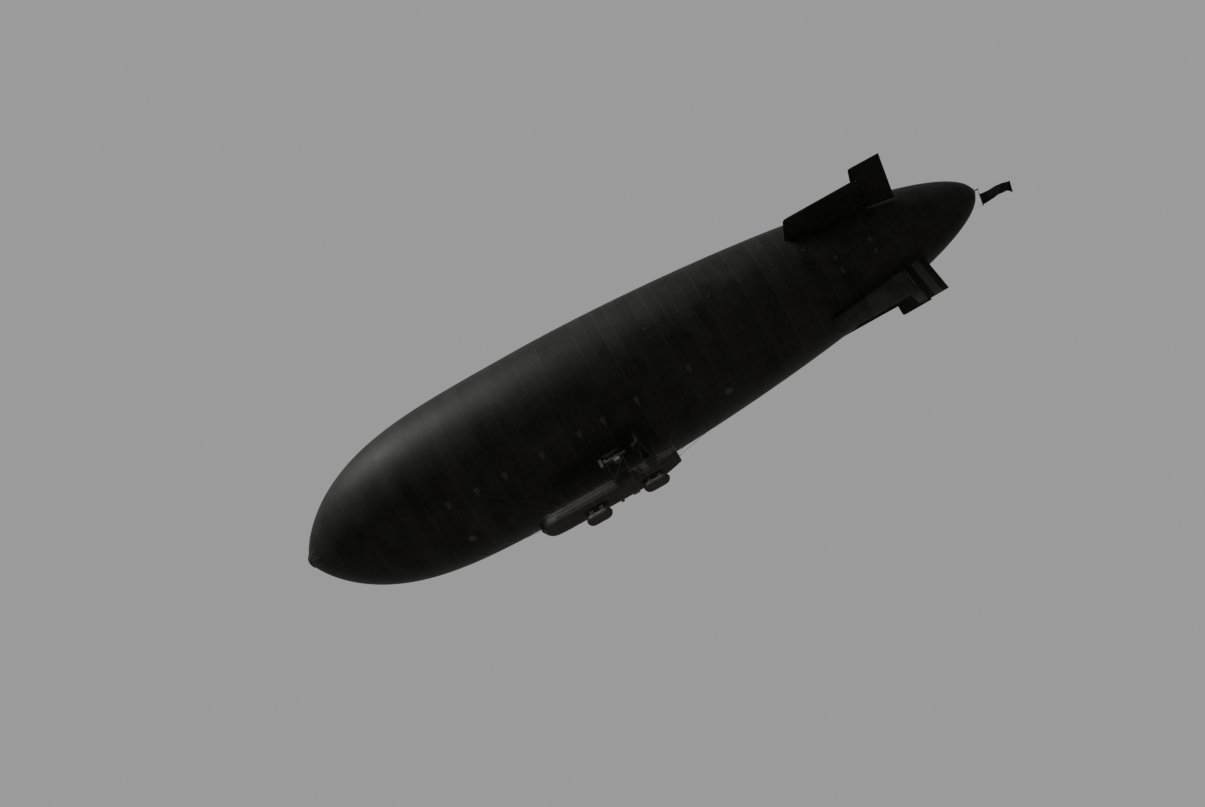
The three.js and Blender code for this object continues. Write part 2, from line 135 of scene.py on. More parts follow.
def new_material(name, colour, roughness, **sockets):
    """A Principled material; values that are the same all over go on its own sockets."""
    made = bpy.data.materials.new(name)
    made.use_nodes = True
    shader = made.node_tree.nodes["Principled BSDF"]
    shader.inputs["Base Color"].default_value = linear(colour)
    shader.inputs["Roughness"].default_value = roughness
    for key, value in sockets.items():
        shader.inputs[key.replace("_", " ")].default_value = value
    print("finish: %s, %s, roughness %.2f" % (name, colour, roughness))
    return made, made.node_tree, shader


print("mid grey #808080 as linear light: %.3f" % linear("#808080")[0])

# %% [markdown]
# ## Floor, sky and light
#
# The real ship hung over an open field under a bright sky. A sky picture could stand
# behind it, but one plain grey shows the outline as well and hides nothing. The floor
# is plain and pale, a little under the camera, and throws some light up.

# %% Floor and sky
EYE_HEIGHT = 0.8
FLOOR_Z = eye.z - EYE_HEIGHT
FLOOR_REACH = 400

floor_mesh = bpy.data.meshes.new("floor")
floor_mesh.from_pydata([(x * FLOOR_REACH, y * FLOOR_REACH, FLOOR_Z)
                        for x, y in ((-1, -1), (1, -1), (1, 1), (-1, 1))], [], [(0, 1, 2, 3)])
floor_mesh.materials.append(new_material("pale_floor", "#c4c2bd", 0.9)[0])
floor = bpy.data.objects.new("floor", floor_mesh)
scene.collection.objects.link(floor)

world = bpy.data.worlds.new("plain_sky")
world.use_nodes = True
world.node_tree.nodes["Background"].inputs["Color"].default_value = linear("#a3a3a3")
world.node_tree.nodes["Background"].inputs["Strength"].default_value = 1.0
scene.world = world
print("floor at %.1f m" % FLOOR_Z)

# %% [markdown]
# ## Soft lights
#
# In the photograph the upper flank is lit and the belly falls into shade. One sun lamp
# would give hard edges, so the key light is a long soft panel, ahead of the ship on its
# port side and high up. A weak panel above the other side keeps the shade readable.

# %% Soft lights


def soft_light(name, towards, distance, size, power):
    """A rectangle of light that faces the hull: size in metres, power in watts."""
    data = bpy.data.lights.new(name, "AREA")
    data.shape = "RECTANGLE"
    data.size, data.size_y = size
    data.energy = power
    light = bpy.data.objects.new(name, data)
    direction = Vector(towards).normalized()
    light.location = MIDDLE + direction * distance
    light.rotation_euler = direction.to_track_quat("Z", "Y").to_euler()
    scene.collection.objects.link(light)
    print("%s light: %d W from %.0f m" % (name, power, distance))


soft_light("key", (-0.42, -0.58, 0.71), 72, (36, 9), 56000)
soft_light("fill", (0.1, 0.6, 0.8), 70, (46, 30), 4000)

# %% [markdown]
# ## Lines and curves
#
# Cables, rails and the car's section all start as a line of points. A Bezier curve
# could carry them, but points are easier to measure, so a few helpers do the work:
# one rounds a line by cutting its corners, one makes a circle, one spaces numbers out
# and one reads a short table between its rows.

# %% Lines and curves


def cut_corners(points, rounds=2):
    """Rounds an open line by cutting its corners; its two ends stay."""
    points = [Vector(p) for p in points]
    for _ in range(rounds):
        cut = [points[0]]
        for a, b in zip(points, points[1:]):
            cut += [a.lerp(b, 0.25), a.lerp(b, 0.75)]
        points = cut + [points[-1]]
    return points


def around(count):
    """The angles of a full turn in equal steps."""
    return [2 * math.pi * k / count for k in range(count)]


def circle(centre, radius, normal, count=32):
    normal = Vector(normal).normalized()
    side = normal.orthogonal().normalized()
    other = normal.cross(side)
    return [Vector(centre) + radius * (math.cos(t) * side + math.sin(t) * other)
            for t in around(count)]


def spread(low, high, count):
    return [low + (high - low) * i / (count - 1) for i in range(count)]


def mix(table, value):
    """Reads a table of (key, number) rows at a value between its keys."""
    for (a, left), (b, right) in zip(table, table[1:]):
        if value <= b:
            return left + (right - left) * max(value - a, 0) / (b - a)
    return table[-1][1]


print("a right angle cut twice has %d points" % len(cut_corners([(0, 0, 0), (1, 0, 0), (1, 1, 0)])))

# %% [markdown]
# ## Skins and boxes
#
# Nearly every part of the ship is a row of outlines with a skin over them: the hull, a
# fin, a propeller blade, a strut. Blender's own loft and screw tools could make them one
# by one. A small class that collects points and faces gives all of them the same way,
# in the frame's metres, and shows each step as numbers.

# %% Skins and boxes


class Skin:
    """Collects points and faces."""

    def __init__(self):
        self.points, self.faces = [], []

    def rings(self, rings, caps=True, loop=False):
        """A skin over closed rings that all have the same count of points."""
        start, count = len(self.points), len(rings[0])
        for ring in rings:
            self.points.extend(Vector(p) for p in ring)
        for i in range(len(rings) if loop else len(rings) - 1):
            here, there = start + i * count, start + (i + 1) % len(rings) * count
            for k in range(count):
                n = (k + 1) % count
                self.faces.append((here + k, here + n, there + n, there + k))
        if caps and not loop:
            self.faces.append(tuple(start + k for k in reversed(range(count))))
            last = start + (len(rings) - 1) * count
            self.faces.append(tuple(last + k for k in range(count)))
        return self

    def box(self, low, high):
        """A box between two opposite corners."""
        start = len(self.points)
        for x in (low[0], high[0]):
            for y in (low[1], high[1]):
                self.points += [Vector((x, y, z)) for z in (low[2], high[2])]
        for quad in ((0, 1, 3, 2), (4, 6, 7, 5), (0, 4, 5, 1), (2, 3, 7, 6), (0, 2, 6, 4),
                     (1, 5, 7, 3)):
            self.faces.append(tuple(start + k for k in quad))
        return self


print("a box has %d faces" % len(Skin().box((0, 0, 0), (1, 1, 1)).faces))

# %% [markdown]
# ## Turned and drawn forms
#
# Rods, caps and hubs are round about an axis, so they are turned from a profile, as on
# a lathe. Cables and pipes follow a line, so they are drawn along it. Straps are flat
# and follow a line too. All three become rings for the skin above.

# %% Turned and drawn forms


class Turned(Skin):
    """Adds round bodies, tubes and ribbons."""

    def lathe(self, profile, centre, axis, sides=24, caps=True):
        """A round body: profile rows are (distance along the axis, radius)."""
        axis = Vector(axis).normalized()
        return self.rings([circle(Vector(centre) + axis * along, max(radius, 1e-5), axis, sides)
                           for along, radius in profile], caps=caps)

    def rod(self, a, b, radius, sides=12, end=None):
        """A round rod from a to b; end is its radius at b."""
        length = (Vector(b) - Vector(a)).length
        end = radius if end is None else end
        return self.lathe([(0, radius), (length, end)], a, Vector(b) - Vector(a), sides)

    def tube(self, path, radius, sides=10, loop=False, taper=None, flat=1.0):
        """A tube along points; taper gives its size, and flat its second width."""
        path = [Vector(p) for p in path]
        count = len(path)
        side = None
        rings = []
        for i, p in enumerate(path):
            before = path[(i - 1) % count] if loop else path[max(i - 1, 0)]
            after = path[(i + 1) % count] if loop else path[min(i + 1, count - 1)]
            ahead = (after - before).normalized()
            side = ahead.orthogonal() if side is None else side - ahead * side.dot(ahead)
            side.normalize()
            other = ahead.cross(side)
            r = radius * (taper(i / (count - 1)) if taper else 1)
            rings.append([p + r * (math.cos(t) * side + flat * math.sin(t) * other)
                          for t in around(sides)])
        return self.rings(rings, loop=loop)

    def ribbon(self, path, wide, thick):
        """A flat strip along points; wide is the vector from its middle to one edge."""
        path = [Vector(p) for p in path]
        rings = []
        for i, p in enumerate(path):
            ahead = path[min(i + 1, len(path) - 1)] - path[max(i - 1, 0)]
            up = ahead.cross(wide).normalized() * thick / 2
            rings.append([p - wide + up, p + wide + up, p + wide - up, p - wide - up])
        return self.rings(rings)


print("a tube of 3 points and 8 sides has %d faces"
      % len(Turned().tube([(0, 0, 0), (0, 0, 1), (0, 0, 2)], 0.1, 8).faces))

# %% [markdown]
# ## From forms to a piece
#
# A finished piece is one mesh object with one finish. Its normals are made to point
# outwards, its edges can take a fine bevel so that they catch light, and faces that
# meet at a small angle are shaded smooth. It then rides on a body of the frame, so it
# moves with that body's joint.

# %% Finished pieces
BEVEL_FROM = 40


class Piece(Turned):
    """Collects shapes and makes one object of them."""

    def done(self, name, look, body="body", replaces=(), slot=None, bevel=0.0, angle=35):
        """Makes the object; angle is the sharpest fold in degrees that is shaded smooth."""
        mesh = bpy.data.meshes.new(name)
        mesh.from_pydata([tuple(p) for p in self.points], [], self.faces)
        shape = bmesh.new()
        shape.from_mesh(mesh)
        bmesh.ops.recalc_face_normals(shape, faces=shape.faces)
        shape.to_mesh(mesh)
        shape.free()
        mesh.materials.append(look)
        piece = bpy.data.objects.new(name, mesh)
        scene.collection.objects.link(piece)
        if bevel:
            edges = piece.modifiers.new("edges", "BEVEL")
            edges.width = bevel
            edges.segments = 2
            edges.limit_method = "ANGLE"
            edges.angle_limit = math.radians(BEVEL_FROM)
        mesh.shade_smooth()
        mesh.set_sharp_from_angle(angle=math.radians(angle))
        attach(piece, body)
        if replaces:
            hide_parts(*replaces)
        print("%-30s %6d faces" % (name, len(self.faces)))
        return piece


print("edges sharper than %d degrees can take a bevel" % BEVEL_FROM)

# %% [markdown]
# ## Hull
#
# The hull is a bag of gas that keeps its shape by pressure. Its outline is a blunt
# nose, its widest place almost four tenths of the way aft, and a long taper. A
# subdivided cylinder could be pulled to that shape by eye. Two power curves that meet
# at the widest place follow the photograph closer, and give the radius at any place to
# everything that lies on the hull.

# %% Hull outline
LIFT_CENTRE = 13.45
HULL_LENGTH = 29.85
HULL_RADIUS = 3.33
WIDEST = 0.377 * HULL_LENGTH
AFT, STARBOARD, UP = Vector((1, 0, 0)), Vector((0, 1, 0)), Vector((0, 0, 1))


def at(aft):
    """Distance aft of the nose tip as an X coordinate."""
    return aft - LIFT_CENTRE


def hull_radius(aft):
    if aft < WIDEST:
        return HULL_RADIUS * (1 - (1 - max(aft, 0) / WIDEST) ** 4.04) ** 0.754
    w = min((aft - WIDEST) / (HULL_LENGTH - WIDEST), 1)
    return HULL_RADIUS * (1 - w ** 1.68) ** 0.5


def hull_point(aft, angle, proud=0.0):
    """A point on the skin; angle is from straight down, positive to starboard."""
    r = hull_radius(aft) + proud
    return Vector((at(aft), r * math.sin(angle), -r * math.cos(angle)))


print("hull: %.2f m long, %.2f m across" % (HULL_LENGTH, 2 * hull_radius(WIDEST)))

# %% [markdown]
# ## Doped cloth: panels and brush marks
#
# The hull and fins are woven cotton, doped by brush until taut. It is sewn from strips
# that run round the hull, and each panel of a strip took the dope a little differently.
# A painted picture of that would repeat or blur. So the tone is summed from layers: one
# random tone for each panel and each strip, cloudy blotches over a metre wide, brush
# marks that run round the hull, and specks about 110 mm wide.

# %% Panels and brush marks
PANEL_STAGGER = 0.37
CLOUDS_PER_METRE, MARKS_PER_METRE, SPECKS_PER_METRE = 0.8, 5.5, 9.0
MEAN_SHIFT = -1.1


def dope_tone(tree, place, x, row_number, angle, gores):
    """How much dope a place took: about 1, more where it is lighter."""
    turn = add(tree, "Math", (angle, gores / (2 * math.pi)), operation="MULTIPLY")
    stagger = add(tree, "Math", (row_number, PANEL_STAGGER, turn), operation="MULTIPLY_ADD")
    panel_number = add(tree, "Math", (stagger,), operation="FLOOR")
    panel = add(tree, "CombineXYZ", (row_number, panel_number))
    panel_tone = add(tree, "TexWhiteNoise", {"Vector": panel}, noise_dimensions="2D")
    row_tone = add(tree, "TexWhiteNoise", {"W": row_number}, noise_dimensions="1D")
    cloud = add(tree, "TexNoise", {"Vector": place, "Scale": CLOUDS_PER_METRE, "Detail": 5.0,
                                   "Roughness": 0.75})
    speck = add(tree, "TexNoise", {"Vector": place, "Scale": SPECKS_PER_METRE, "Detail": 4.0,
                                   "Roughness": 0.7})
    across = add(tree, "Math", (x, MARKS_PER_METRE), operation="MULTIPLY")
    marks = add(tree, "CombineXYZ", (across, angle))
    streak = add(tree, "TexNoise",
                 {"Vector": marks, "Scale": 1.0, "Detail": 5.0, "Roughness": 0.62})
    tone = MEAN_SHIFT
    for layer, weight in ((panel_tone, 0.30), (row_tone, 0.26), (cloud, 2.5), (streak, 0.95),
                          (speck, 0.36)):
        tone = add(tree, "Math", (layer, weight, tone), operation="MULTIPLY_ADD")
    return tone, cloud


print("clouds, brush marks and specks, in mm:",
      [round(1000 / n) for n in (CLOUDS_PER_METRE, MARKS_PER_METRE, SPECKS_PER_METRE)])

# %% [markdown]
# ## Doped cloth: taped seams
#
# Each seam between two strips is covered by a pinked tape, 40 mm wide. The distance
# from the nearest seam draws it, and each tape gets its own random tone, because some
# are new and some are old. Real seams could be modelled as strips, but there are sixty
# round the hull, and they stand up by less than a millimetre.

# %% Taped seams
TAPE_HALF = 0.018
TAPE_FADE = 0.024


def seam_tapes(tree, row, strip, tone):
    """The tapes as a mask, and the tone with the tapes on it."""
    nearest = add(tree, "Math", (row, 0.5), operation="PINGPONG")
    metres = add(tree, "Math", (nearest, strip), operation="MULTIPLY")
    tape = add(tree, "MapRange", (metres, TAPE_HALF, TAPE_FADE, 1.0, 0.0),
               interpolation_type="SMOOTHSTEP")
    shifted = add(tree, "Math", (row, 0.5), operation="ADD")
    number = add(tree, "Math", (shifted,), operation="FLOOR")
    chance = add(tree, "TexWhiteNoise", {"W": number}, noise_dimensions="1D")
    rare = add(tree, "Math", (chance, 2), operation="POWER")
    lighter = add(tree, "Math", (rare, 0.7, 0.08), operation="MULTIPLY_ADD")
    return tape, add(tree, "Math", (tape, lighter, tone), operation="MULTIPLY_ADD")


print("tapes are %.0f mm wide" % (2000 * TAPE_HALF))

# %% [markdown]
# ## Doped cloth: the whole finish
#
# Woven cotton under cellulose dope is dull: to the eye it has a wide soft sheen and no
# sharp reflection. Its typical IOR is 1.5, and a low specular level stands for the dust
# in it. Its real threads, 0.3 mm apart, are too fine to show, so the weave is drawn
# 6 mm wide, as low relief under the tapes.

# %% Doped cloth
WEAVE_PITCH_MM = 6.25
BAND_DARKER = -0.72


def doped_cloth(name, colour, strip, gores, roughness=0.55, bands=()):
    """Cloth in strips along X; gores is how many panels each strip has around, and bands
    are painted dark from one X to another."""
    made, tree, shader = new_material(name, colour, roughness, Specular_IOR_Level=0.1)
    place = add(tree, "TexCoord").outputs["Object"]
    x, y, z = add(tree, "SeparateXYZ", (place,)).outputs
    row = add(tree, "Math", (x, strip), operation="DIVIDE")
    row_number = add(tree, "Math", (row,), operation="FLOOR")
    angle = add(tree, "Math", (y, z), operation="ARCTAN2")
    tone, cloud = dope_tone(tree, place, x, row_number, angle, gores)
    tape, tone = seam_tapes(tree, row, strip, tone)
    for low, high in bands:
        behind = add(tree, "Math", (x, low), operation="GREATER_THAN")
        ahead = add(tree, "Math", (x, high), operation="LESS_THAN")
        inside = add(tree, "Math", (behind, ahead), operation="MULTIPLY")
        darker = add(tree, "Math", (inside, BAND_DARKER, 1.0), operation="MULTIPLY_ADD")
        tone = add(tree, "Math", (tone, darker), operation="MULTIPLY")
    grey = add(tree, "CombineColor", (tone, tone, tone))
    colours = add(tree, "Mix", {0: 1.0, 6: linear(colour), 7: grey}, data_type="RGBA",
                  blend_type="MULTIPLY")
    tree.links.new(colours.outputs[2], shader.inputs["Base Color"])
    weave = add(tree, "TexNoise", {"Vector": place, "Scale": 1000 / WEAVE_PITCH_MM, "Detail": 2.0})
    height = add(tree, "Math", (weave, 0.12, tape), operation="MULTIPLY_ADD")
    bump = add(tree, "Bump", {"Height": height, "Strength": 0.5, "Distance": 0.004})
    tree.links.new(bump.outputs[0], shader.inputs["Normal"])
    rough = add(tree, "Math", (cloud, 0.25, roughness - 0.12), operation="MULTIPLY_ADD")
    tree.links.new(rough.outputs[0], shader.inputs["Roughness"])
    return made


# Cotton brushed with dark dope. It gives the eye a soft sheen along the lit flank.
hull_cloth = doped_cloth("doped_cotton", "#1c1c1b", 0.5, 14)

# %% [markdown]
# ## Hull skin
#
# One fine surface takes the place of the frame's facets. Its rings stand closer at the
# nose and at the tail, where the outline turns fast, so the curve stays smooth there.

# %% Hull skin
HULL_STEPS = 150
HULL_SIDES = 144


def build_hull():
    stations = [HULL_LENGTH * (1 - math.cos(math.pi * i / HULL_STEPS)) / 2
                for i in range(1, HULL_STEPS)]
    profile = [(0.0, 0.0)] + [(aft, hull_radius(aft)) for aft in stations] + [(HULL_LENGTH, 0.0)]
    skin = Piece().lathe(profile, (at(0), 0, 0), AFT, HULL_SIDES, caps=False)
    skin.done("hull_skin", hull_cloth, replaces=["envelope"], slot="hull_fabric", angle=80)


build_hull()

# %% [markdown]
# ## Finishes for everything else
#
# Wood, metal, paint, canvas and hide differ in tone, gloss and relief, and in where they
# wear. One recipe serves them all: two tones mixed by blotches of a real size, gloss
# that follows the blotches, and a relief of grain, cells or weave. Edges can show wear.
# Each finish is made where it is first needed, from what the real stuff is.

# %% Relief of a finish


def relief_height(tree, place, grain, blotch, relief, spacing):
    """Grain, cells or a weave; spacing is in millimetres."""
    if relief == "weave":
        x, y, z = add(tree, "SeparateXYZ", (place,)).outputs
        across = add(tree, "Math", (y, z), operation="ADD")
        turns = 2 * math.pi * 1000 / spacing
        warp = add(tree, "Math", (x, turns), operation="MULTIPLY")
        weft = add(tree, "Math", (across, turns * 0.7), operation="MULTIPLY")
        warp, weft = [add(tree, "Math", (thread,), operation="SINE") for thread in (warp, weft)]
        crossing = add(tree, "Math", (warp, weft), operation="MULTIPLY")
        return add(tree, "Math", (crossing, 0.5, blotch), operation="MULTIPLY_ADD")
    if relief == "cells":
        return add(tree, "TexVoronoi", {"Vector": place, "Scale": 1000 / spacing})
    return add(tree, "TexNoise", {"Vector": grain, "Scale": 1000 / spacing, "Detail": 3.0})


print("a noise scale of %.0f makes blotches 120 mm wide" % (1000 / 120))

# %% Finish recipe
WORN_TONE = "#8d8a84"


def finish(name, dark, light, roughness, pitch, stretch=(1, 1, 1), relief="grain", depth=0.3,
           spacing=2.0, worn=0.0, **sockets):
    """A finish between two tones: pitch and spacing in mm are the sizes of its blotches and
    of its relief, which is grain, cells or weave, and depth is the relief's height in mm."""
    made, tree, shader = new_material(name, light, roughness, **sockets)
    place = add(tree, "TexCoord").outputs["Object"]
    grain = add(tree, "VectorMath", (place, stretch), operation="MULTIPLY")
    blotch = add(tree, "TexNoise", {"Vector": grain, "Scale": 1000 / pitch, "Detail": 6.0,
                                    "Roughness": 0.62})
    share = add(tree, "MapRange", (blotch, 0.3, 0.7, 0.0, 1.0))
    colour = add(tree, "Mix", {0: share, 6: linear(dark), 7: linear(light)},
                 data_type="RGBA").outputs[2]
    if worn:
        edge = add(tree, "NewGeometry").outputs["Pointiness"]
        bare = add(tree, "MapRange", (edge, 0.52, 0.60, 0.0, worn))
        colour = add(tree, "Mix", {0: bare, 6: colour, 7: linear(WORN_TONE)},
                     data_type="RGBA").outputs[2]
    tree.links.new(colour, shader.inputs["Base Color"])
    gloss = add(tree, "MapRange", (blotch, 0.3, 0.7, roughness + 0.10, roughness - 0.06))
    tree.links.new(gloss.outputs[0], shader.inputs["Roughness"])
    height = relief_height(tree, place, grain, blotch, relief, spacing)
    bump = add(tree, "Bump", {"Height": height, "Strength": 0.6, "Distance": depth / 1000})
    tree.links.new(bump.outputs[0], shader.inputs["Normal"])
    return made


print("worn edges turn to", WORN_TONE)

# %% [markdown]
# ## Nose
#
# A spun metal cap holds the nose and takes the mooring line. Doubled cloth fingers,
# glued on around it, spread its pull over the skin. The cap is turned from one profile,
# as the real one was. The fingers follow the hull's own curve, because a flat strip
# would cut into it.

# %% Metals and patches of the nose and tail
# Aluminium spun over a former, then left to the weather. The eye sees a grey sheen with
# no mirror image. Its tool marks, 0.5 mm apart, are drawn 6 mm apart so that they show,
# and a film of dirt keeps it from being fully metallic.
spun = finish("spun_aluminium", "#262726", "#414341", 0.5, 150, depth=0.1, spacing=6, worn=0.12,
              Metallic=0.7)
# Mild steel, rolled and oiled. The eye sees a darker, bluer metal with bright edges. Its
# mill grain of 0.2 mm is drawn 4 mm wide.
steel = finish("oiled_mild_steel", "#292b2d", "#45484b", 0.48, 120, depth=0.1, spacing=4, worn=0.2,
               Metallic=0.8)
# Doubled cotton, rubbered and glued on. The eye sees a patch that is duller than the
# cloth around it. Threads of 0.4 mm are drawn 2 mm apart.
patch_cloth = finish("rubbered_cotton_patch", "#131312", "#1b1b1a", 0.65, 160, relief="weave")

# %% Strips that lie on the hull


def hull_strip(piece, route, width, proud=0.006, steps=8, ends=0.5):
    """A cloth strip along a route of (aft, angle) rows; ends gives their share of the width."""
    route = [Vector((aft, angle, 0)) for aft, angle in route]
    rings = []
    for i in range(steps + 1):
        share = i / steps * (len(route) - 1)
        k = min(int(share), len(route) - 2)
        p = route[k].lerp(route[k + 1], share - k)
        q = route[k + 1] - route[k]
        radius = max(hull_radius(p.x), 0.05)
        along = Vector((q.x, q.y * radius, 0)).normalized()
        half = width / 2 * (ends if i in (0, steps) else 1)
        across = [(p.x - s * half * along.y, p.y + s * half * along.x / radius) for s in (-1, 0, 1)]
        rings.append([hull_point(a, t, proud) for a, t in across]
                     + [hull_point(a, t, -0.01) for a, t in reversed(across)])
    return piece.rings(rings)


print("a strip 100 mm wide at the widest place spans %.1f degrees"
      % math.degrees(0.1 / hull_radius(WIDEST)))

# %% Nose cap
RIVETS = 24
BOLTS = 8
FINGERS = 16


def build_nose():
    cap = Piece()
    cap.lathe([(-0.020, 0.0), (-0.020, 0.045), (-0.026, 0.055), (-0.026, 0.108), (-0.022, 0.122),
               (-0.012, 0.150), (0.012, 0.200), (0.034, 0.240), (0.062, 0.274), (0.084, 0.296),
               (0.098, 0.303), (0.104, 0.310), (0.116, 0.310), (0.120, 0.303), (0.155, 0.345)],
              (at(0), 0, 0), AFT, 64, caps=False)
    for angle in around(RIVETS):
        spot = Vector((0, math.sin(angle), math.cos(angle)))
        cap.lathe([(0, 0.011), (0.008, 0.010), (0.011, 0.005)],
                  Vector((at(0.05), 0, 0)) + spot * 0.253, spot * 0.8 - AFT, 8)
    for angle in around(BOLTS):
        spot = Vector((0, math.sin(angle), math.cos(angle)))
        cap.lathe([(0, 0.009), (0.006, 0.008)], Vector((at(-0.026), 0, 0)) + spot * 0.082,
                  (-1, 0, 0), 6)
    cap.done("nose_cap_spinning", spun, replaces=["nose_cap"], slot="fitting_metal")
    fingers = Piece()
    for angle in around(FINGERS):
        hull_strip(fingers, [(0.13, angle), (0.62, angle)], 0.07, 0.005)
    fingers.done("nose_fingers", patch_cloth)


build_nose()

# %% [markdown]
# ## Tail end
#
# A turned fitting closes the tail and carries a steel staff for the flag, with two
# stays to the hull. The staff leans aft, so its places are worked out by one function,
# and the flag later hangs from the same places.

# %% Tail end and staff
STAFF_X = at(HULL_LENGTH) + 0.17
STAFF_LEAN = 0.28
FLAG_TOP = -0.31
FLAG_HEIGHT = 0.63
STAYS = [(-0.26, 29.62), (-0.9, 29.0)]


def leaning(z, astern=0.0):
    """A point of the staff at a height, or one that far astern of it."""
    return Vector((STAFF_X + STAFF_LEAN * z + astern, 0, z))


def build_tail_end():
    tail = Piece()
    tail.lathe([(-0.066, 0.215), (-0.060, 0.190), (-0.020, 0.168), (0.010, 0.125), (0.020, 0.060),
                (0.030, 0.036), (0.040, 0.024), (0.196, 0.024), (0.200, 0.016)],
               (at(HULL_LENGTH), 0, 0), AFT, 32)
    foot, along = leaning(FLAG_TOP - FLAG_HEIGHT - 0.03), leaning(1) - leaning(0)
    tail.rod(leaning(0.020), foot, 0.012, 12)
    tail.lathe([(-0.010, 0.010), (-0.006, 0.019), (0.010, 0.022), (0.02, 0.017), (0.028, 0.006)],
               foot, along, 14)
    tail.lathe([(-0.045, 0.020), (-0.040, 0.026), (0.015, 0.026), (0.020, 0.020)],
               leaning(0), along, 14)
    for z, foot_at in STAYS:
        tail.tube([leaning(z), (at(foot_at), 0, z)], 0.003, 6)
    tail.done("tail_staff_turned", steel, replaces=["tail_staff"], slot="fitting_metal")


build_tail_end()

# %% [markdown]
# ## Valves
#
# Two gas valves sit under hoods on the back, and two air valves with slatted faces sit
# under the belly. Hoods and rims are round, so they are turned. The slats are boxes, cut
# to the length that fits inside the rim at each row.

# %% Valves
GAS_VALVES = [("fore_gas_valve", 9.2), ("aft_gas_valve", 18.6)]
AIR_VALVES = [("fore_air_valve", 6.4), ("aft_air_valve", 17.6)]
HOOD_SCREWS = 20
SLAT_PITCH = 0.034
SLAT_REACH = 0.128


def build_valves():
    for name, aft in GAS_VALVES:
        centre = (at(aft), 0, hull_radius(aft))
        hood = Piece()
        hood.lathe([(-0.05, 0.262), (-0.010, 0.262), (0.004, 0.250), (0.012, 0.236), (0.018, 0.208),
                    (0.040, 0.204), (0.046, 0.214), (0.052, 0.214), (0.060, 0.190), (0.072, 0.100),
                    (0.078, 0.030), (0.078, 0.0)], centre, UP, 48)
        for angle in around(HOOD_SCREWS):
            spot = Vector((math.cos(angle), math.sin(angle), 0))
            hood.lathe([(0, 0.010), (0.010, 0.009)], Vector(centre) + spot * 0.243, UP, 6)
        hood.done(name + "_hood", spun, replaces=[name], slot="fitting_metal")
    for name, aft in AIR_VALVES:
        centre = Vector((at(aft), 0, -hull_radius(aft)))
        slats = Piece()
        slats.lathe([(-0.06, 0.178), (0.004, 0.178), (0.010, 0.166), (0.040, 0.150), (0.052, 0.145),
                     (0.052, 0.130), (0.030, 0.124), (0.030, 0.0)], centre, (0, 0, -1), 40)
        for row in range(-3, 4):
            reach = math.sqrt(SLAT_REACH ** 2 - (row * SLAT_PITCH) ** 2)
            x = centre.x + row * SLAT_PITCH
            slats.box((x - 0.012, -reach, centre.z - 0.048), (x + 0.009, reach, centre.z - 0.028))
        slats.done(name + "_slats", spun, replaces=[name], slot="fitting_metal")


build_valves()

# %% [markdown]
# ## Fins
#
# Each fin is a wooden frame under doped linen, so the cloth sags a little between the
# ribs, which run fore and aft. Modelled ribs under a cloth simulation could give that
# sag. Here it is drawn straight into the outlines, six of them to each bay, because it
# is only 6 mm deep and has to be the same on both sides.

# %% Linen of the fins
# Linen brushed with dark dope. It gives the eye the hull's soft sheen on a flatter,
# tighter surface, with a tape over each seam.
fin_cloth = doped_cloth("doped_linen", "#181817", 0.42, 1)
# The same linen in a lighter grey, which is painted sunlight: it stands for the sun on the
# bottom fin's side and sets the bottom fin off from the black belly.
fin_cloth_painted_sunlit = doped_cloth("linen_painted_sunlit", "#323231", 0.42, 1, 0.5)

# %% Ribs and the four places
FIN_FRONT = 22.4
HINGE_AT = 25.71
HINGE_REAR = 25.636
NOSE_HALF = 0.06
RIB_PITCH = 0.29
SAG = 0.006
PLACES = {
    "top": lambda x, r, t: Vector((x, -t, r)),
    "bottom": lambda x, r, t: Vector((x, t, -r)),
    "port": lambda x, r, t: Vector((x, -r, t)),
    "starboard": lambda x, r, t: Vector((x, r, t)),
}


def rib_rows(low, high):
    """Radii from low to high, six to each bay between ribs, with each bay's sag."""
    rows = []
    bays = max(round((high - low) / RIB_PITCH), 1)
    for i in range(bays * 6 + 1):
        rows.append((low + (high - low) * i / (bays * 6), SAG * abs(math.sin(math.pi * i / 6))))
    return rows


print("ribs from 1.5 to 3.3 m out give %d outlines" % len(rib_rows(1.5, 3.3)))

# %% Fin
FIN_ROOT = 1.5


def fin_piece(name, where, tip, rear, rake, look):
    place = PLACES[where]
    depths = [0, 0.008, 0.025, 0.055, 0.1, 0.16, 0.24, 0.9, 1.7, 2.5]
    rings = []
    edge_rows = [(tip - 0.045, 0), (tip - 0.022, 0), (tip - 0.006, 0), (tip, 0)]
    for r, sag in rib_rows(FIN_ROOT, tip - 0.07) + edge_rows:
        half = mix([(FIN_ROOT, 0.078), (tip - 0.07, 0.0624), (tip - 0.03, 0.052), (tip, 0.027)], r)
        front = FIN_FRONT + rake * (r - 3.0) + mix([(tip - 0.07, 0), (tip, 0.05)], r)
        upper = []
        for depth in [d for d in depths if front + d < rear - 0.1] + [rear - front]:
            share = min(depth / 0.24, 1)
            thick = half * (1 - (1 - share) ** 2.2) ** 0.62 - sag * share
            upper.append((at(front + depth), r, thick))
        lower = [(x, r, -thick) for x, r, thick in reversed(upper[1:])]
        rings.append([place(*p) for p in upper + lower])
    return Piece().rings(rings).done(name + "_cloth", look, replaces=[name],
                                     slot="fin_fabric", angle=50)


fin_piece("top_fin", "top", 3.40, 26.3, 0.25, fin_cloth)

# %% [markdown]
# ## Rudder and elevators
#
# A rudder or an elevator is a second frame that turns behind its fin. Its front edge is
# round, so it can swing without opening a gap, it is cut back around each hinge lug,
# and it reaches past the fin's tip with a horn ahead of the hinge, which balances it.
# Cutting the gaps with a boolean would leave long thin faces, so the outlines next to a
# gap start further aft instead.

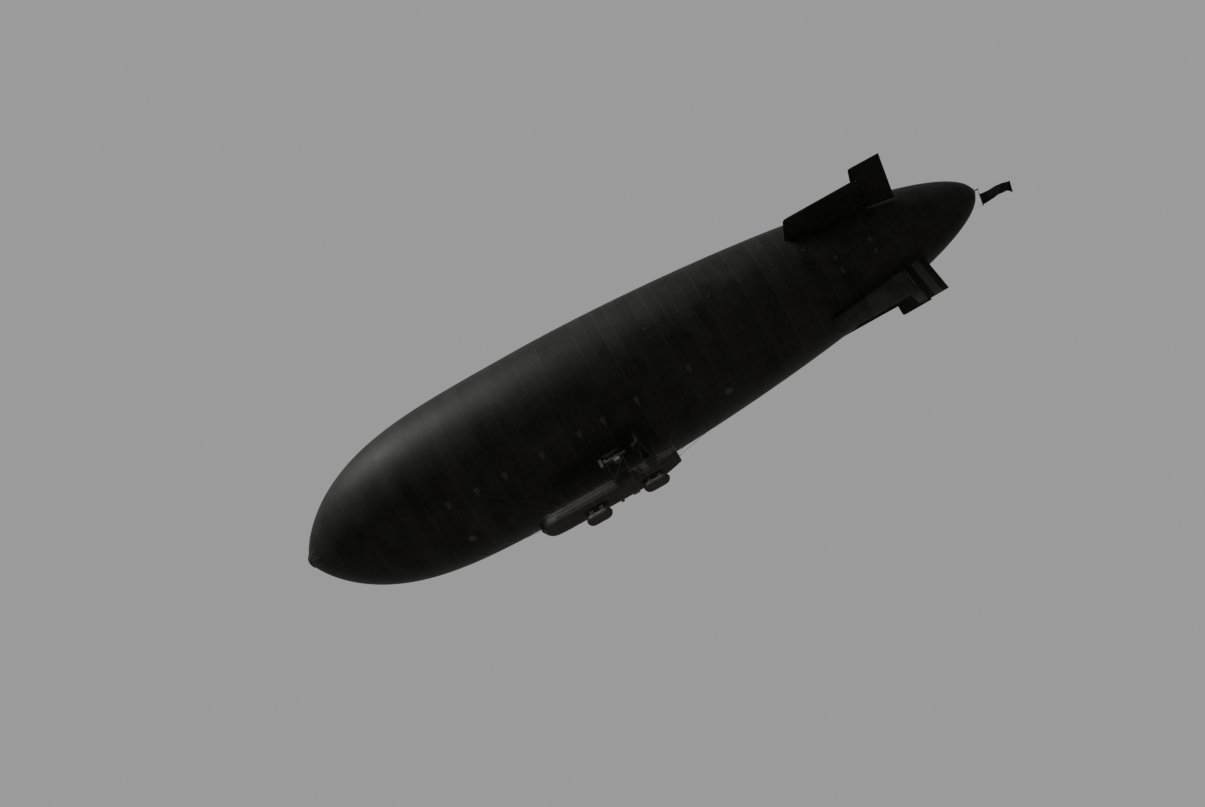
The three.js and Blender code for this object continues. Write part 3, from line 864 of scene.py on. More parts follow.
# %% Lugs, and rows from root to tip
LUG_GAP = 0.028


def lug_radii(tip):
    root = hull_radius(HINGE_AT) * math.cos(math.pi / 40)
    return [root + share * (tip - root) for share in (0.2, 0.55, 0.9)]


def surface_rows(tip, horn, cuts):
    """Rows of radius, sag and whether the horn is there, from the root to the tip."""
    rows = [(r, sag, r > horn) for r, sag in rib_rows(2.07, tip - 0.05)]
    rows += [(horn - 0.001, 0, False), (horn, 0, True)]
    for low, high in cuts:
        rows = [row for row in rows if not low - 0.004 < row[0] < high + 0.004]
        rows += [(r, 0, False) for r in (low - 0.001, low, high, high + 0.001)]
    rows += [(tip - 0.025, 0, True), (tip - 0.008, 0, True), (tip, 0, True)]
    return [(0, 0, False)] + sorted(rows)


print("lugs of the rudder are", ", ".join("%.2f m" % r for r in lug_radii(3.35)), "out")

# %% Rudder and elevator outlines


def surface_piece(name, where, tip, fin_tip, front, end, body, look):
    """A hinged surface: cut back round each lug, and with its horn ahead of the hinge."""
    place = PLACES[where]
    horn = fin_tip + 0.015
    cuts = [(r - LUG_GAP, r + LUG_GAP) for r in lug_radii(fin_tip)]
    rings = []
    for i, (r, sag, is_horn) in enumerate(surface_rows(tip, horn, cuts)):
        cut = any(low <= r <= high for low, high in cuts)
        half = NOSE_HALF * mix([(tip - 0.05, 1), (tip - 0.02, 0.8), (tip, 0.5)], r)
        lead = HINGE_AT - NOSE_HALF
        if is_horn:
            lead = mix([(horn, front - 0.04), (tip - 0.05, front + 0.03), (tip, front + 0.06)], r)
        ahead = [HINGE_AT - (HINGE_AT - lead) * math.cos(t) for t in spread(0, math.pi / 2, 9)]
        behind = spread(HINGE_AT + 0.06, end, 6)
        upper = []
        for aft in ahead + behind:
            if aft <= HINGE_AT:
                thick = half * math.sqrt(max(1 - ((HINGE_AT - aft) / (HINGE_AT - lead)) ** 2, 0))
                thick = max(thick, 0.002)
            else:
                thick = mix([(HINGE_AT, half - sag), (end, 0.008)], aft)
            if cut:
                aft = max(aft, HINGE_AT + 0.05)
            inner = hull_radius(aft) + 0.075
            upper.append((at(aft), inner if i == 0 else r, thick))
        lower = [(x, out, -thick) for x, out, thick in reversed(upper)]
        rings.append([place(*p) for p in upper + lower])
    return Piece().rings(rings).done(name + "_cloth", look, body, replaces=[name],
                                     slot="fin_fabric", angle=50)


print("a surface's nose is %.0f mm thick" % (2000 * NOSE_HALF))

# %% [markdown]
# ## Hinges
#
# Three steel lugs on the fin's rear spar carry pins that the surface turns on. They are
# plain boxes and rods, bevelled so that their edges catch the light. They stay with the
# fin, and the surface swings past them.

# %% Hinges


def hinge_piece(name, where, tip):
    """The steel lugs on a fin's rear spar, with their pins and bolted straps."""
    place = PLACES[where]
    hinge = Piece()
    for r in lug_radii(tip):
        for t0, t1 in ((-0.022, -0.013), (0.013, 0.022)):
            corners = [place(at(x), q, t) for x in (HINGE_REAR - 0.03, HINGE_AT + 0.024)
                       for q in (r - 0.018, r + 0.018) for t in (t0, t1)]
            low = [min(c[k] for c in corners) for k in range(3)]
            high = [max(c[k] for c in corners) for k in range(3)]
            hinge.box(low, high)
        hinge.rod(place(at(HINGE_AT), r - 0.026, 0), place(at(HINGE_AT), r + 0.026, 0), 0.014, 16)
        hinge.rod(place(at(HINGE_REAR - 0.004), r, 0), place(at(HINGE_AT), r, 0), 0.0125, 12)
        for t0, t1 in ((-0.020, -0.026), (0.020, 0.026)):
            hinge.rod(place(at(HINGE_AT), r, t0), place(at(HINGE_AT), r, t1), 0.011, 6)
    return hinge.done(name, steel, bevel=0.0015)


print("each hinge line stands at %.2f m aft" % HINGE_AT)

# %% [markdown]
# ## The tail group
#
# The fins, surfaces and hinges are put together from one short table. In the photograph
# the bottom fin and rudder are lighter than the rest, and the rudder has two dark bands,
# so they get finishes of their own.

# %% Tail group
# Linen in the bottom fin's lighter grey, which is painted sunlight, with two bands of dark
# dope painted across it. The bands give the eye the rudder's edges from far away.
rudder_cloth = doped_cloth("banded_linen_painted_sunlit", "#363635", 0.42, 1, 0.5,
                           [(at(25.78), at(26.09)), (at(26.40), at(26.7))])
TAIL = [
    # place, fin, tip and rake, surface, its tip, its horn's front and its end, both finishes
    ("bottom", "bottom_fin", 3.35, 0, "rudder", 3.97, 25.40, 26.67, fin_cloth_painted_sunlit, rudder_cloth),
] + [(side, side + "_stabilizer", 3.48, 0.25, side + "_elevator", 4.09, 25.48, 26.83, fin_cloth,
      fin_cloth) for side in ("port", "starboard")]
for where, fin, tip, rake, surface, surface_tip, front, end, fin_look, surface_look in TAIL:
    fin_piece(fin, where, tip, HINGE_REAR, rake, fin_look)
    surface_piece(surface, where, surface_tip, tip, front, end, surface, surface_look)
    hinge_piece(surface + "_hinges", where, tip)

# %% [markdown]
# ## Brace wires of the tail
#
# Wires run from each fin's tip to the hull on both sides and keep the fin upright. A
# wire could be a curve with a thickness. A thin tube does the same and exports as it
# stands. Each has a turnbuckle near the hull and ends on a glued patch.

# %% Wire
# Galvanised steel wire, stranded and greased. The eye sees a thin dark line with a dull
# glint. Its strands, 1 mm wide, are drawn 3 mm wide so that they show at all.
wire = finish("greased_steel_wire", "#1d1e1f", "#3a3b3d", 0.5, 40, spacing=3, Metallic=0.6)

# %% Brace wires
BRACED = [("bottom", 0, 3.35), ("port", -90, 3.48), ("starboard", 90, 3.48), ("top", 180, 3.4)]
BRACE_SPREAD = 38


def build_braces():
    wires, feet = Piece(), Piece()
    for where, middle, tip in BRACED:
        for aft in (23.6, 25.1):
            for lean in (-1, 1):
                top = PLACES[where](at(aft + 0.1), tip - 0.35, 0)
                angle = math.radians(middle + lean * BRACE_SPREAD)
                foot = hull_point(aft, angle)
                off = (foot - top).normalized()
                top = top + off * 0.08
                wires.tube([top, foot + (foot - Vector((foot.x, 0, 0))).normalized() * 0.01],
                           0.004, 6)
                wires.lathe([(0, 0.004), (0.01, 0.009), (0.11, 0.009), (0.12, 0.004)],
                            foot - off * 0.22, off, 8)
                wires.lathe([(0, 0.016), (0.010, 0.013), (0.016, 0.005)], top - off * 0.02, off, 10)
                hull_strip(feet, [(aft, angle - 0.05), (aft, angle + 0.05)], 0.13, 0.005)
    wires.done("tail_brace_wires", wire)
    feet.done("tail_brace_patches", patch_cloth)


build_braces()

# %% [markdown]
# ## Flag
#
# The flag is one width of wool bunting on a canvas heading, laced to the staff. The
# wind lays it out astern, so waves run down it and grow towards its free end, and the
# lower free corner falls back. A cloth simulation in wind would come out different in
# each run of its settings, and the photograph shows one shape. So the waves are drawn
# with sines, over the bunting's true flat size, with 3 mm between its faces.

# %% Bunting
# Woven worsted bunting, dull and open. The eye sees a soft dark cloth with no sheen at
# all. Threads of 0.5 mm are drawn 2 mm apart.
bunting = finish("wool_bunting", "#060607", "#131315", 0.92, 180, relief="weave",
                 Specular_IOR_Level=0.15)

# %% Flag
FLAG_LENGTH = 1.4
HALF_THICK = 0.0015
LACINGS = 6


def build_flag():
    across, down = 72, 30
    cloth, rings = Piece(), []
    for i in range(across + 1):
        s = i / across
        column = []
        for k in range(down + 1):
            q = k / down
            wave = 0.038 * s ** 0.6 * math.sin(8.4 * s + 0.5 * q * s)
            curl = 0.15 * max((s - 0.85 + 0.05 * q) / 0.15, 0) ** 2 * (0.3 + 0.6 * q)
            ripple = 0.012 * s * math.sin(23 * s + 5 * q)
            z = FLAG_TOP - 0.10 * s - FLAG_HEIGHT * (1 - 0.27 * s ** 0.7) * q
            x = leaning(z).x + 0.0135 + 0.925 * FLAG_LENGTH * s - 0.03 * s * s * q
            column.append((x, wave + curl + ripple, z))
        rings.append([(x, y + HALF_THICK, z) for x, y, z in column]
                     + [(x, y - HALF_THICK, z) for x, y, z in reversed(column)])
    cloth.rings(rings)
    flag = cloth.done("flag_bunting", bunting, replaces=["flag"], slot="flag_cloth", angle=60)
    heading = Piece()
    edge = [leaning(z, 0.028) for z in (FLAG_TOP + 0.005, FLAG_TOP - FLAG_HEIGHT - 0.005)]
    heading.ribbon(edge, Vector((0.018, 0, 0)), 0.012)
    heading = heading.done("flag_heading", patch_cloth, bevel=0.002)
    lacing = Piece()
    for row in range(LACINGS):
        z = FLAG_TOP - 0.05 - row * (FLAG_HEIGHT - 0.1) / (LACINGS - 1)
        lacing.tube(circle(leaning(z, 0.006), 0.021, (0.3, 0, 1), 16), 0.0025, 6, loop=True)
    lacing.done("flag_lacing", wire)


build_flag()
print("flag: %.2f m by %.2f m when flat" % (FLAG_LENGTH, FLAG_HEIGHT))

# %% [markdown]
# ## Car outline
#
# The car is an open boat of painted plywood on ash frames. Boatbuilders draw such a
# shape as a few sections along a keel, and so does this cell: keel height and half
# width at twelve places, rounded by cutting corners, and one section that is scaled to
# fit. Everything on the car's side can then ask for its line at any place.

# %% Car outline
GUNWALE = -4.45
KEEL = -5.18
WALL = 0.018
DECK = 0.016
WELL_HALF = 0.305
WELLS = [(9.85, 12.15), (12.65, 14.25)]
CAR_FRAMES = [(8.93, -4.80, 0.004), (8.934, -4.815, 0.05), (8.952, -4.845, 0.095),
              (8.99, -4.89, 0.15), (9.05, -4.975, 0.21), (9.13, -5.068, 0.265),
              (9.296, -5.152, 0.325), (9.6, KEEL, 0.366), (10.2, KEEL, 0.375),
              (13.65, KEEL, 0.375), (14.08, -5.115, 0.372), (14.775, -4.89, 0.352)]
CAR_SECTION = [(1, 1), (0.97, 0.36), (0.8, 0.144), (0.56, 0)]
CAR_ROWS = cut_corners(CAR_FRAMES, 2)


def car_row(aft):
    """Keel height and half width at a place along the car."""
    return (mix([(row[0], row[1]) for row in CAR_ROWS], aft),
            mix([(row[0], row[2]) for row in CAR_ROWS], aft))


def car_line(aft, offset=0.0, top=GUNWALE):
    """The car's section as an open line from the port gunwale round to starboard."""
    keel, half = car_row(aft)
    bottom = keel - offset
    side = [(-out * max(half + offset, 0.002), top if up == 1 else bottom + up * (GUNWALE - bottom))
            for out, up in CAR_SECTION]
    line = [(y, z, 0) for y, z in side] + [(-y, z, 0) for y, z in reversed(side)]
    return [Vector((at(aft), y, z)) for y, z, _ in cut_corners(line, 2)]


CAR_STATIONS = sorted(set([row[0] for row in CAR_ROWS] + spread(10.2, 13.65, 12)))
BOW, STERN = CAR_STATIONS[0], CAR_STATIONS[-1]
print("car: %.2f m long, %.2f m across" % (STERN - BOW, 2 * car_row(12)[1]))

# %% [markdown]
# ## Car shell and decks
#
# The shell is a skin over the sections, inside and out, with a crowned deck ahead of,
# between and behind the cockpits and a narrow side deck along them. One solid with two
# holes cut in it would be shorter to write, but this way the decks keep an even grid of
# faces and shade smoothly.

# %% Paint of the car
# Birch plywood under brushed oil paint. The eye sees a dark, slightly glossy skin that
# is rubbed along its edges. Its brush marks, 1 mm wide, are drawn 30 mm wide, since
# nothing finer shows from below.
car_paint = finish("painted_birch_ply", "#111211", "#1f201e", 0.42, 420, depth=0.6, spacing=30,
                   worn=0.35, Specular_IOR_Level=0.35)

# %% Car shell
DECKED = [(BOW, 9.85), (12.15, 12.65), (14.25, STERN)]
CROWN = 0.014


def deck_ring(aft, inner=None):
    """The deck's section: right across, or from inner to the starboard edge."""
    half = car_row(aft)[1] + 0.002
    edges = spread(-half, half, 9) if inner is None else spread(inner, half, 3)
    crown = [(y, GUNWALE + CROWN * (1 - (y / half) ** 2)) for y in edges]
    return ([Vector((at(aft), y, z)) for y, z in crown]
            + [Vector((at(aft), y, z - DECK - 0.012)) for y, z in reversed(crown)])


def build_shell():
    shell = Piece()
    shell.rings([car_line(a) + list(reversed(car_line(a, -WALL))) for a in CAR_STATIONS])
    shell.rings([car_line(STERN - WALL, -0.004), car_line(STERN, -0.002),
                 [p + Vector((0.008, 0, 0)) for p in car_line(STERN, -0.022)]])
    for a, b in DECKED:
        rows = sorted(set([x for x in CAR_STATIONS if a <= x < b - 0.01] + spread(a, b, 9)))
        shell.rings([deck_ring(x) for x in rows])
    for a, b in WELLS:
        side_deck = [deck_ring(x, WELL_HALF) for x in spread(a, b, 9)]
        shell.rings(side_deck)
        shell.rings([[Vector((p.x, -p.y, p.z)) for p in ring] for ring in side_deck])
    shell.done("car_shell", car_paint, replaces=["car_hull"], slot="car_paint", angle=40)


build_shell()

# %% [markdown]
# ## Straps of the car
#
# Ash battens cover the joints of the plywood: ten round the section, two along each
# side and one down the stem and along the keel. They lie on the skin by using the same
# section line, a few millimetres out. Brass screws hold them in pairs.

# %% Weathered ash and brass
# Ash, planed and oiled, then grey from the weather. The eye sees long pale grain along
# the batten. Growth rings, 2 mm apart, are drawn 4 mm apart and 80 mm long.
ash_dark = finish("weathered_ash", "#241d16", "#3d3123", 0.58, 60, (0.15, 3, 3), depth=0.4,
                  spacing=12)
# Cast and turned brass, tarnished. The eye sees a brown metal that is yellow on its
# edges. Its casting grain of 0.3 mm is drawn 4 mm wide.
brass = finish("tarnished_brass", "#3a2d18", "#66512b", 0.46, 60, depth=0.1, spacing=4, worn=0.3,
               Metallic=0.8)

# %% Straps and screws
STRAPS = spread(9.45, 14.55, 10)
STRAKES = [(0.985, 0.66), (0.885, 0.25)]


def build_straps():
    straps = Piece()
    for aft in STRAPS:
        rings = [car_line(aft + x, 0.004)[1:-1] + list(reversed(car_line(aft + x, -0.004)[1:-1]))
                 for x in (-0.016, 0.016)]
        straps.rings(rings)
    for sign in (-1, 1):
        for out, up in STRAKES:
            route = []
            for aft in spread(9.45, 14.7, 30):
                keel, half = car_row(aft)
                route.append((at(aft), sign * out * half, keel + up * (GUNWALE - keel)))
            straps.tube(route, 0.013, 6, flat=0.6)
    stem = [Vector((at(BOW) + 0.003, 0, z)) for z in spread(GUNWALE - 0.004, -4.79, 4)]
    keel_line = [Vector((at(aft), 0, car_row(aft)[0])) for aft in CAR_STATIONS[3:]]
    straps.tube(stem + keel_line, 0.009, 8)
    straps.done("car_straps", ash_dark, bevel=0.0015)


def build_screws():
    pins = Piece()
    for aft in STRAPS:
        line = car_line(aft, 0.004)
        for i in range(3, len(line) - 3, 2):
            out = Vector((0, line[i].y, line[i].z - (GUNWALE - 0.25)))
            for x in (-0.009, 0.009):
                pins.lathe([(-0.002, 0.005), (0.0015, 0.0045), (0.003, 0.002)],
                           line[i] + Vector((x, 0, 0)), out, 6)
    pins.done("car_screws", brass)


build_straps()
build_screws()

# %% [markdown]
# ## Cockpit edges
#
# A roll of leather pads both cockpits' edges, over an ash coaming. Both are tubes round
# a loop with round corners. The roll is one of the soft pieces: it is stuffed tight, so
# a plain round section is its true shape and no simulation is needed.

# %% Ash and hide
# Ash, planed and varnished. The eye sees warm grain under a thin clear coat.
ash = finish("varnished_ash", "#3c2d1e", "#5f4a31", 0.42, 60, (0.15, 3, 3), depth=0.4, spacing=12,
             Coat_Weight=0.3)
# Cow hide, tanned and waxed. The eye sees a brown skin with fine creases and broken
# highlights. Its pebble grain of 1 mm is drawn 4 mm wide.
leather = finish("upholstery_hide", "#2b1c13", "#543a28", 0.42, 90, relief="cells", depth=0.5,
                 spacing=4)

# %% Cockpit edges


def round_rectangle(half_long, half_wide, corner, step):
    """Pairs of numbers about the middle; step is the degrees between points of an arc."""
    a, b = half_long - corner, half_wide - corner
    pairs = []
    for ca, cb, turn in ((a, b, 0), (-a, b, 90), (-a, -b, 180), (a, -b, 270)):
        for angle in range(0, 91, step):
            t = math.radians(turn + angle)
            pairs.append((ca + corner * math.cos(t), cb + corner * math.sin(t)))
    return pairs


def build_coamings():
    padding, welts = Piece(), Piece()
    for a, b in WELLS:
        middle = Vector((at((a + b) / 2), 0, GUNWALE + 0.012))
        loop = [middle + Vector((u, v, 0)) for u, v in
                round_rectangle((b - a) / 2 + 0.004, WELL_HALF + 0.004, 0.07, 15)]
        fine = []
        for p, q in zip(loop, loop[1:] + loop[:1]):
            count = max(int((q - p).length / 0.04), 1)
            fine += [p.lerp(q, i / count) for i in range(count)]
        padding.tube(fine, 0.021, 12, loop=True)
        low = [(p[0], p[1], p[2] - 0.02) for p in fine]
        welts.tube(low, 0.026, 8, loop=True, flat=0.35)
    pad = padding.done("cockpit_padding", leather)
    welts.done("cockpit_coaming", ash)


build_coamings()

# %% [markdown]
# ## Handrails
#
# A steel rail runs along each side, to hold the car by on the ground. It could be a
# bevelled curve. A tube along the car's own half width fits it closer, at one height,
# on nine brackets and turned in at its ends.

# %% Handrails
HANDRAIL_Z = -4.83
BRACKETS = spread(9.75, 14.15, 9)


def build_handrails():
    rails = Piece()
    for sign in (-1, 1):
        route = [(at(aft), sign * (car_row(aft)[1] * 0.975 + 0.038), HANDRAIL_Z)
                 for aft in spread(9.7, 14.2, 26)]
        ends = [(route[0][0] - 0.05, route[0][1] - sign * 0.04, HANDRAIL_Z),
                (route[-1][0] + 0.05, route[-1][1] - sign * 0.04, HANDRAIL_Z)]
        rails.tube([ends[0]] + route + [ends[1]], 0.010, 10)
        for aft in BRACKETS:
            half = car_row(aft)[1] * 0.975
            rails.rod((at(aft), sign * (half - 0.012), HANDRAIL_Z),
                      (at(aft), sign * (half + 0.040), HANDRAIL_Z), 0.007, 8)
            rails.lathe([(0, 0.020), (0.005, 0.018), (0.007, 0.008)],
                        (at(aft), sign * (half + 0.001), HANDRAIL_Z), (0, sign, 0), 12)
    rails.done("car_handrails", steel)


build_handrails()

# %% [markdown]
# ## Cockpit floors and frames
#
# The floor is six slats of ash on cross bearers, with gaps for water to drain. Slats
# are boxes with a small bevel. The frames inside the car are the same section line as
# its skin, moved in.

# %% Floors and frames
FLOOR_TOP = -5.06


def build_floor():
    boards = Piece()
    slats = 6
    width = 0.5 / slats
    for row in range(slats):
        y = -0.25 + row * width
        boards.box((at(9.75), y + 0.002, FLOOR_TOP - 0.02),
                   (at(13.65), y + width - 0.002, FLOOR_TOP))
    for aft in (9.85, 11.0, 12.2, 13.4):
        boards.box((at(aft) - 0.02, -0.19, KEEL + WALL), (at(aft) + 0.02, 0.19, FLOOR_TOP - 0.018))
    boards.done("floor_boards", ash, replaces=["car_floor"], slot="ash_wood", bevel=0.002)
    ribs = Piece()
    for aft in spread(9.75, 14.35, 17):
        ribs.rings([car_line(aft + x, -WALL + 0.002)[3:-3]
                    + list(reversed(car_line(aft + x, -WALL - 0.014)[3:-3]))
                    for x in (-0.009, 0.009)])
    ribs.done("car_frames_inside", ash, bevel=0.002)


build_floor()

# %% [markdown]
# ## Instruments
#
# Round brass instruments stand in an ash board: a dark face, painted marks, a hand, a
# turned rim and a clear lid. The marks are modelled, because a painted picture of them
# would need an image. Each dial has twelve marks.

# %% Finishes of the instruments
# Air-drying enamel, brushed on cast iron. The eye sees a hard dark gloss that is chipped
# on its edges. Brush marks of 0.5 mm are drawn 3 mm wide.
enamel = finish("brushed_enamel", "#171818", "#2b2c2c", 0.36, 90, spacing=3, worn=0.25)
# Cream oil paint, laid on by hand. It dries dull, so the eye reads it easily on the dark
# faces. Its grain, 1 mm wide, is drawn at its own size.
mark_paint = finish("cream_oil_paint", "#c9c4ae", "#e2dec9", 0.6, 20, depth=0.05, spacing=1)


def dusty_sheet(name, colour):
    """Clear sheet with wiped dust: the dull film is thin streaks, so most of it stays clear."""
    made, tree, shader = new_material(name, colour, 0.06, Transmission_Weight=0.9, IOR=1.46)
    place = add(tree, "TexCoord").outputs["Object"]
    wiped = add(tree, "VectorMath", (place, (2, 2, 9)), operation="MULTIPLY")
    film = add(tree, "TexNoise", {"Vector": wiped, "Scale": 7.0, "Detail": 5.0})
    dull = add(tree, "MapRange", (film, 0.45, 0.75, 0.03, 0.20))
    tree.links.new(dull.outputs[0], shader.inputs["Roughness"])
    return made


# Cellulose sheet, pressed clear. Its IOR is a little under 1.5. The eye looks through it
# and sees thin streaks where dust was wiped, about 70 mm long and 16 mm apart.
glass = dusty_sheet("clear_cellulose_sheet", "#d5dcda")

# %% Instruments
CLEAR = 0.0003
DIALS = [
    # across, down from the deck, radius, and the hand's turn in degrees
    (-0.19, -0.085, 0.040, 200), (-0.085, -0.075, 0.034, 140), (0.0, -0.085, 0.042, 40),
    (0.095, -0.075, 0.034, 300), (0.195, -0.085, 0.040, 250), (-0.14, -0.185, 0.026, 120),
    (-0.045, -0.18, 0.028, 60), (0.055, -0.18, 0.028, 10), (0.145, -0.185, 0.026, 160),
]


def dial_point(centre, proud, reach, turn):
    return centre + Vector((proud, reach * math.sin(turn), reach * math.cos(turn)))


def build_instruments():
    board = Piece()
    top = GUNWALE - DECK - CLEAR
    board.box((at(9.815), -0.27, top - 0.25), (at(9.835), 0.27, top))
    board.done("instrument_board_panel", ash, replaces=["instrument_board"], slot="ash_wood",
               bevel=0.004)
    rims, faces, marks, lids = Piece(), Piece(), Piece(), Piece()
    x = at(9.835)
    for y, drop, radius, hand in DIALS:
        centre = Vector((x, y, top + drop))
        rims.lathe([(-0.002, radius + 0.006), (0.008, radius + 0.006), (0.012, radius + 0.002),
                    (0.012, radius - 0.002), (0.004, radius - 0.003)], centre, AFT, 32,
                   caps=False)
        faces.lathe([(0.001, radius - 0.002), (0.004, radius - 0.002)], centre, AFT, 28)
        lids.lathe([(0.0095, radius - 0.001), (0.0105, radius - 0.001)], centre, AFT, 28)
        for t in around(12):
            marks.rod(dial_point(centre, 0.0045, 0.74 * radius, t),
                      dial_point(centre, 0.0045, 0.88 * radius, t), 0.0011, 4)
        marks.rod(centre + Vector((0.0065, 0, 0)),
                  dial_point(centre, 0.0065, 0.7 * radius, math.radians(hand)), 0.0016, 4, 0.0006)
    rims.done("instrument_rims", brass)
    faces.done("instrument_faces", enamel)
    marks.done("instrument_marks", mark_paint)
    lids.done("instrument_glasses", glass)


build_instruments()

# %% [markdown]
# ## Hand wheels
#
# The rudder wheel stands across the car ahead of the first bench, and the elevator
# wheel stands along it at the side. Each has a turned walnut rim, five steel spokes and
# a post to the floor. A torus could be the rim, but a circle drawn as a tube can be
# flattened as the real one is. Each spoke is the same one turned about the axle.

# %% Walnut
# Walnut, turned and varnished. The eye sees a deep brown under a clear gloss. Pores of
# 0.3 mm are drawn 4 mm wide and 16 mm long.
walnut = finish("turned_walnut", "#2e1a0e", "#5b3820", 0.32, 40, (0.5, 2, 2), depth=0.2, spacing=8,
                Coat_Weight=0.4)

# %% Hand wheels
WHEEL_Z = -4.7


def build_wheels():
    for name, aft, y, axis in (("rudder_wheel", 10.12, 0.11, AFT),
                               ("elevator_wheel", 10.33, -0.215, STARBOARD)):
        centre = Vector((at(aft), y, WHEEL_Z))
        axis = Vector(axis)
        side = axis.orthogonal().normalized()
        wheel = Piece()
        wheel.tube(circle(centre, 0.12, axis, 48), 0.0105, 12, loop=True, flat=0.85)
        wheel.done(name + "_rim", walnut, replaces=[name], slot="ash_wood")
        metal = Piece()
        for turn in around(5):
            out = Matrix.Rotation(turn, 3, axis) @ UP
            metal.tube([centre + out * 0.012, centre + out * 0.05 - axis * 0.008,
                        centre + out * 0.114], 0.0055, 8)
        away = Vector((-0.03, 0, 0)) if axis.x else Vector((0, 0.025, 0))
        metal.lathe([(-0.012, 0.010), (-0.008, 0.022), (0.008, 0.022), (0.012, 0.010)],
                    centre, axis, 20)
        metal.rod(centre, centre + away, 0.012, 14)
        post = centre + away
        metal.rod(post + Vector((0, 0, 0.016)), (post.x, post.y, FLOOR_TOP), 0.013, 16)
        metal.lathe([(0, 0.040), (0.006, 0.038), (0.010, 0.020), (0.03, 0.014)],
                    (post.x, post.y, FLOOR_TOP), UP, 20)
        metal.lathe([(-0.02, 0.016), (-0.014, 0.022), (0.014, 0.022), (0.02, 0.016)], post,
                    UP, 16)
        metal.done(name + "_post", steel)


build_wheels()

# %% [markdown]
# ## Fuel tank
#
# The tank is a drum of spun metal under the middle deck, held by two bands, with a
# filler on top and a brass pipe. Its ends are domed and rolled at the rim, so one
# profile draws half of it and its mirror image the other half.

# %% Fuel tank


def build_tank():
    centre = Vector((at(12.4), 0, FLOOR_TOP + CLEAR + 0.17))
    tank = Piece()
    dome = [(-0.23, 0.0), (-0.228, 0.06), (-0.220, 0.12), (-0.208, 0.152), (-0.196, 0.166),
            (-0.184, 0.170), (-0.180, 0.167), (-0.174, 0.167), (-0.170, 0.170)]
    tank.lathe(dome + [(-along, radius) for along, radius in reversed(dome)], centre, STARBOARD, 48)
    tank.lathe([(0.160, 0.042), (0.180, 0.042), (0.184, 0.034), (0.186, 0.050), (0.204, 0.050),
                (0.208, 0.040)], centre, UP, 24)
    tank.done("fuel_tank_shell", spun, replaces=["fuel_tank"], slot="fitting_metal")
    bands = Piece()
    for y in (-0.11, 0.11):
        bands.rings([circle(centre + Vector((0, y + dy, 0)), r, STARBOARD, 48) for dy, r in
                     ((-0.014, 0.168), (-0.014, 0.1735), (0.014, 0.1735), (0.014, 0.168))],
                    loop=True)
    bands.done("fuel_tank_bands", ash_dark)
    line = Piece()
    route = [(-0.10, 0.24, -0.12), (-0.10, 0.27, -0.12), (-0.10, 0.30, 0.10), (0.0, 0.32, 0.33),
             (0.05, 0.40, 0.36)]
    line.tube(cut_corners([centre + Vector(p) for p in route], 2), 0.006, 8)
    line.rod(centre + Vector((-0.10, 0.17, -0.12)), centre + Vector((-0.10, 0.245, -0.12)),
             0.009, 8)
    line.done("fuel_pipe", brass)


build_tank()

# %% [markdown]
# ## Benches
#
# Three plain ash benches stand across the car. They are boards, so they are boxes with
# a bevel. Their cushions come later, with the other soft pieces.

# %% Benches
BENCHES = [("pilot_bench", 10.6), ("crew_bench", 11.7), ("engineer_bench", 13.45)]


def build_benches():
    for name, aft in BENCHES:
        front, back = at(aft) - 0.19, at(aft) + 0.01
        top = FLOOR_TOP + 0.215
        bench = Piece()
        bench.box((front, -0.225, top - 0.062), (back + 0.02, 0.225, top - 0.044))
        bench.box((back, -0.225, FLOOR_TOP), (back + 0.02, 0.225, top - 0.05))
        bench.box((back + 0.004, -0.225, top - 0.05), (back + 0.02, 0.225, top + 0.23))
        bench.box((front + 0.02, -0.2, FLOOR_TOP), (front + 0.036, 0.2, top - 0.05))
        for y in (-0.2, 0.2):
            bench.box((back - 0.02, y - 0.014, FLOOR_TOP), (back + 0.004, y + 0.014, top - 0.05))
        bench.done(name + "_frame", ash, replaces=[name], slot="ash_wood", bevel=0.004)


build_benches()

# %% [markdown]
# ## Windscreens
#
# Each cockpit has a low folded screen of clear sheet in a brass rim. It is one thin
# skin bent at the posts, with its folds left sharp, as real flat panes meet.

# %% Windscreens
SCREENS = [("fore_windscreen", 9.79), ("aft_windscreen", 12.6)]


def build_windscreens():
    for name, aft in SCREENS:
        outer = [(0.300, 0.060), (0.240, -0.060), (0.120, -0.110)]
        line = outer + [(-y, x) for y, x in reversed(outer)]
        low = GUNWALE + 0.002
        pane = Piece()
        pane.rings([[(at(aft) + x + back, y * share, low + up) for back, share, up in
                     ((0.004, 0.99, 0), (0.004, 0.99, 0.16), (0.008, 0.98, 0.16), (0.008, 0.98, 0))]
                    for y, x in line])
        pane.done(name + "_panes", glass, replaces=[name], slot="window", angle=10)
        rim = Piece()
        middle = [Vector((at(aft) + x + 0.006, y * 0.985, 0)) for y, x in line]
        rim.tube([p + Vector((0, 0, low + 0.163)) for p in middle], 0.0055, 8)
        rim.tube([p + Vector((0, 0, low + 0.004)) for p in middle], 0.008, 8)
        for p in middle:
            rim.rod(p + Vector((0, 0, low - 0.01)), p + Vector((0, 0, low + 0.165)), 0.005, 8)
        rim.done(name + "_rim", brass)


build_windscreens()

# %% [markdown]
# ## Outriggers
#
# Two steel beds stand beside the car on struts, and the engines are bolted to them.
# The struts are steel tubes drawn to a thin oval, thicker in the middle than at their
# ends, so each is a flat tube with a taper. Sockets hold their ends.

# %% Engine beds
ENGINE_Y = 0.95
SHAFT_Z = -4.13
BED_TOP = -4.23
RAIL_GAUGE = 0.08
SIDES = {"port": -1, "starboard": 1}
STRUTS_AT = (12.26, 12.93)
BED_MIDDLE = BED_TOP - 0.0175


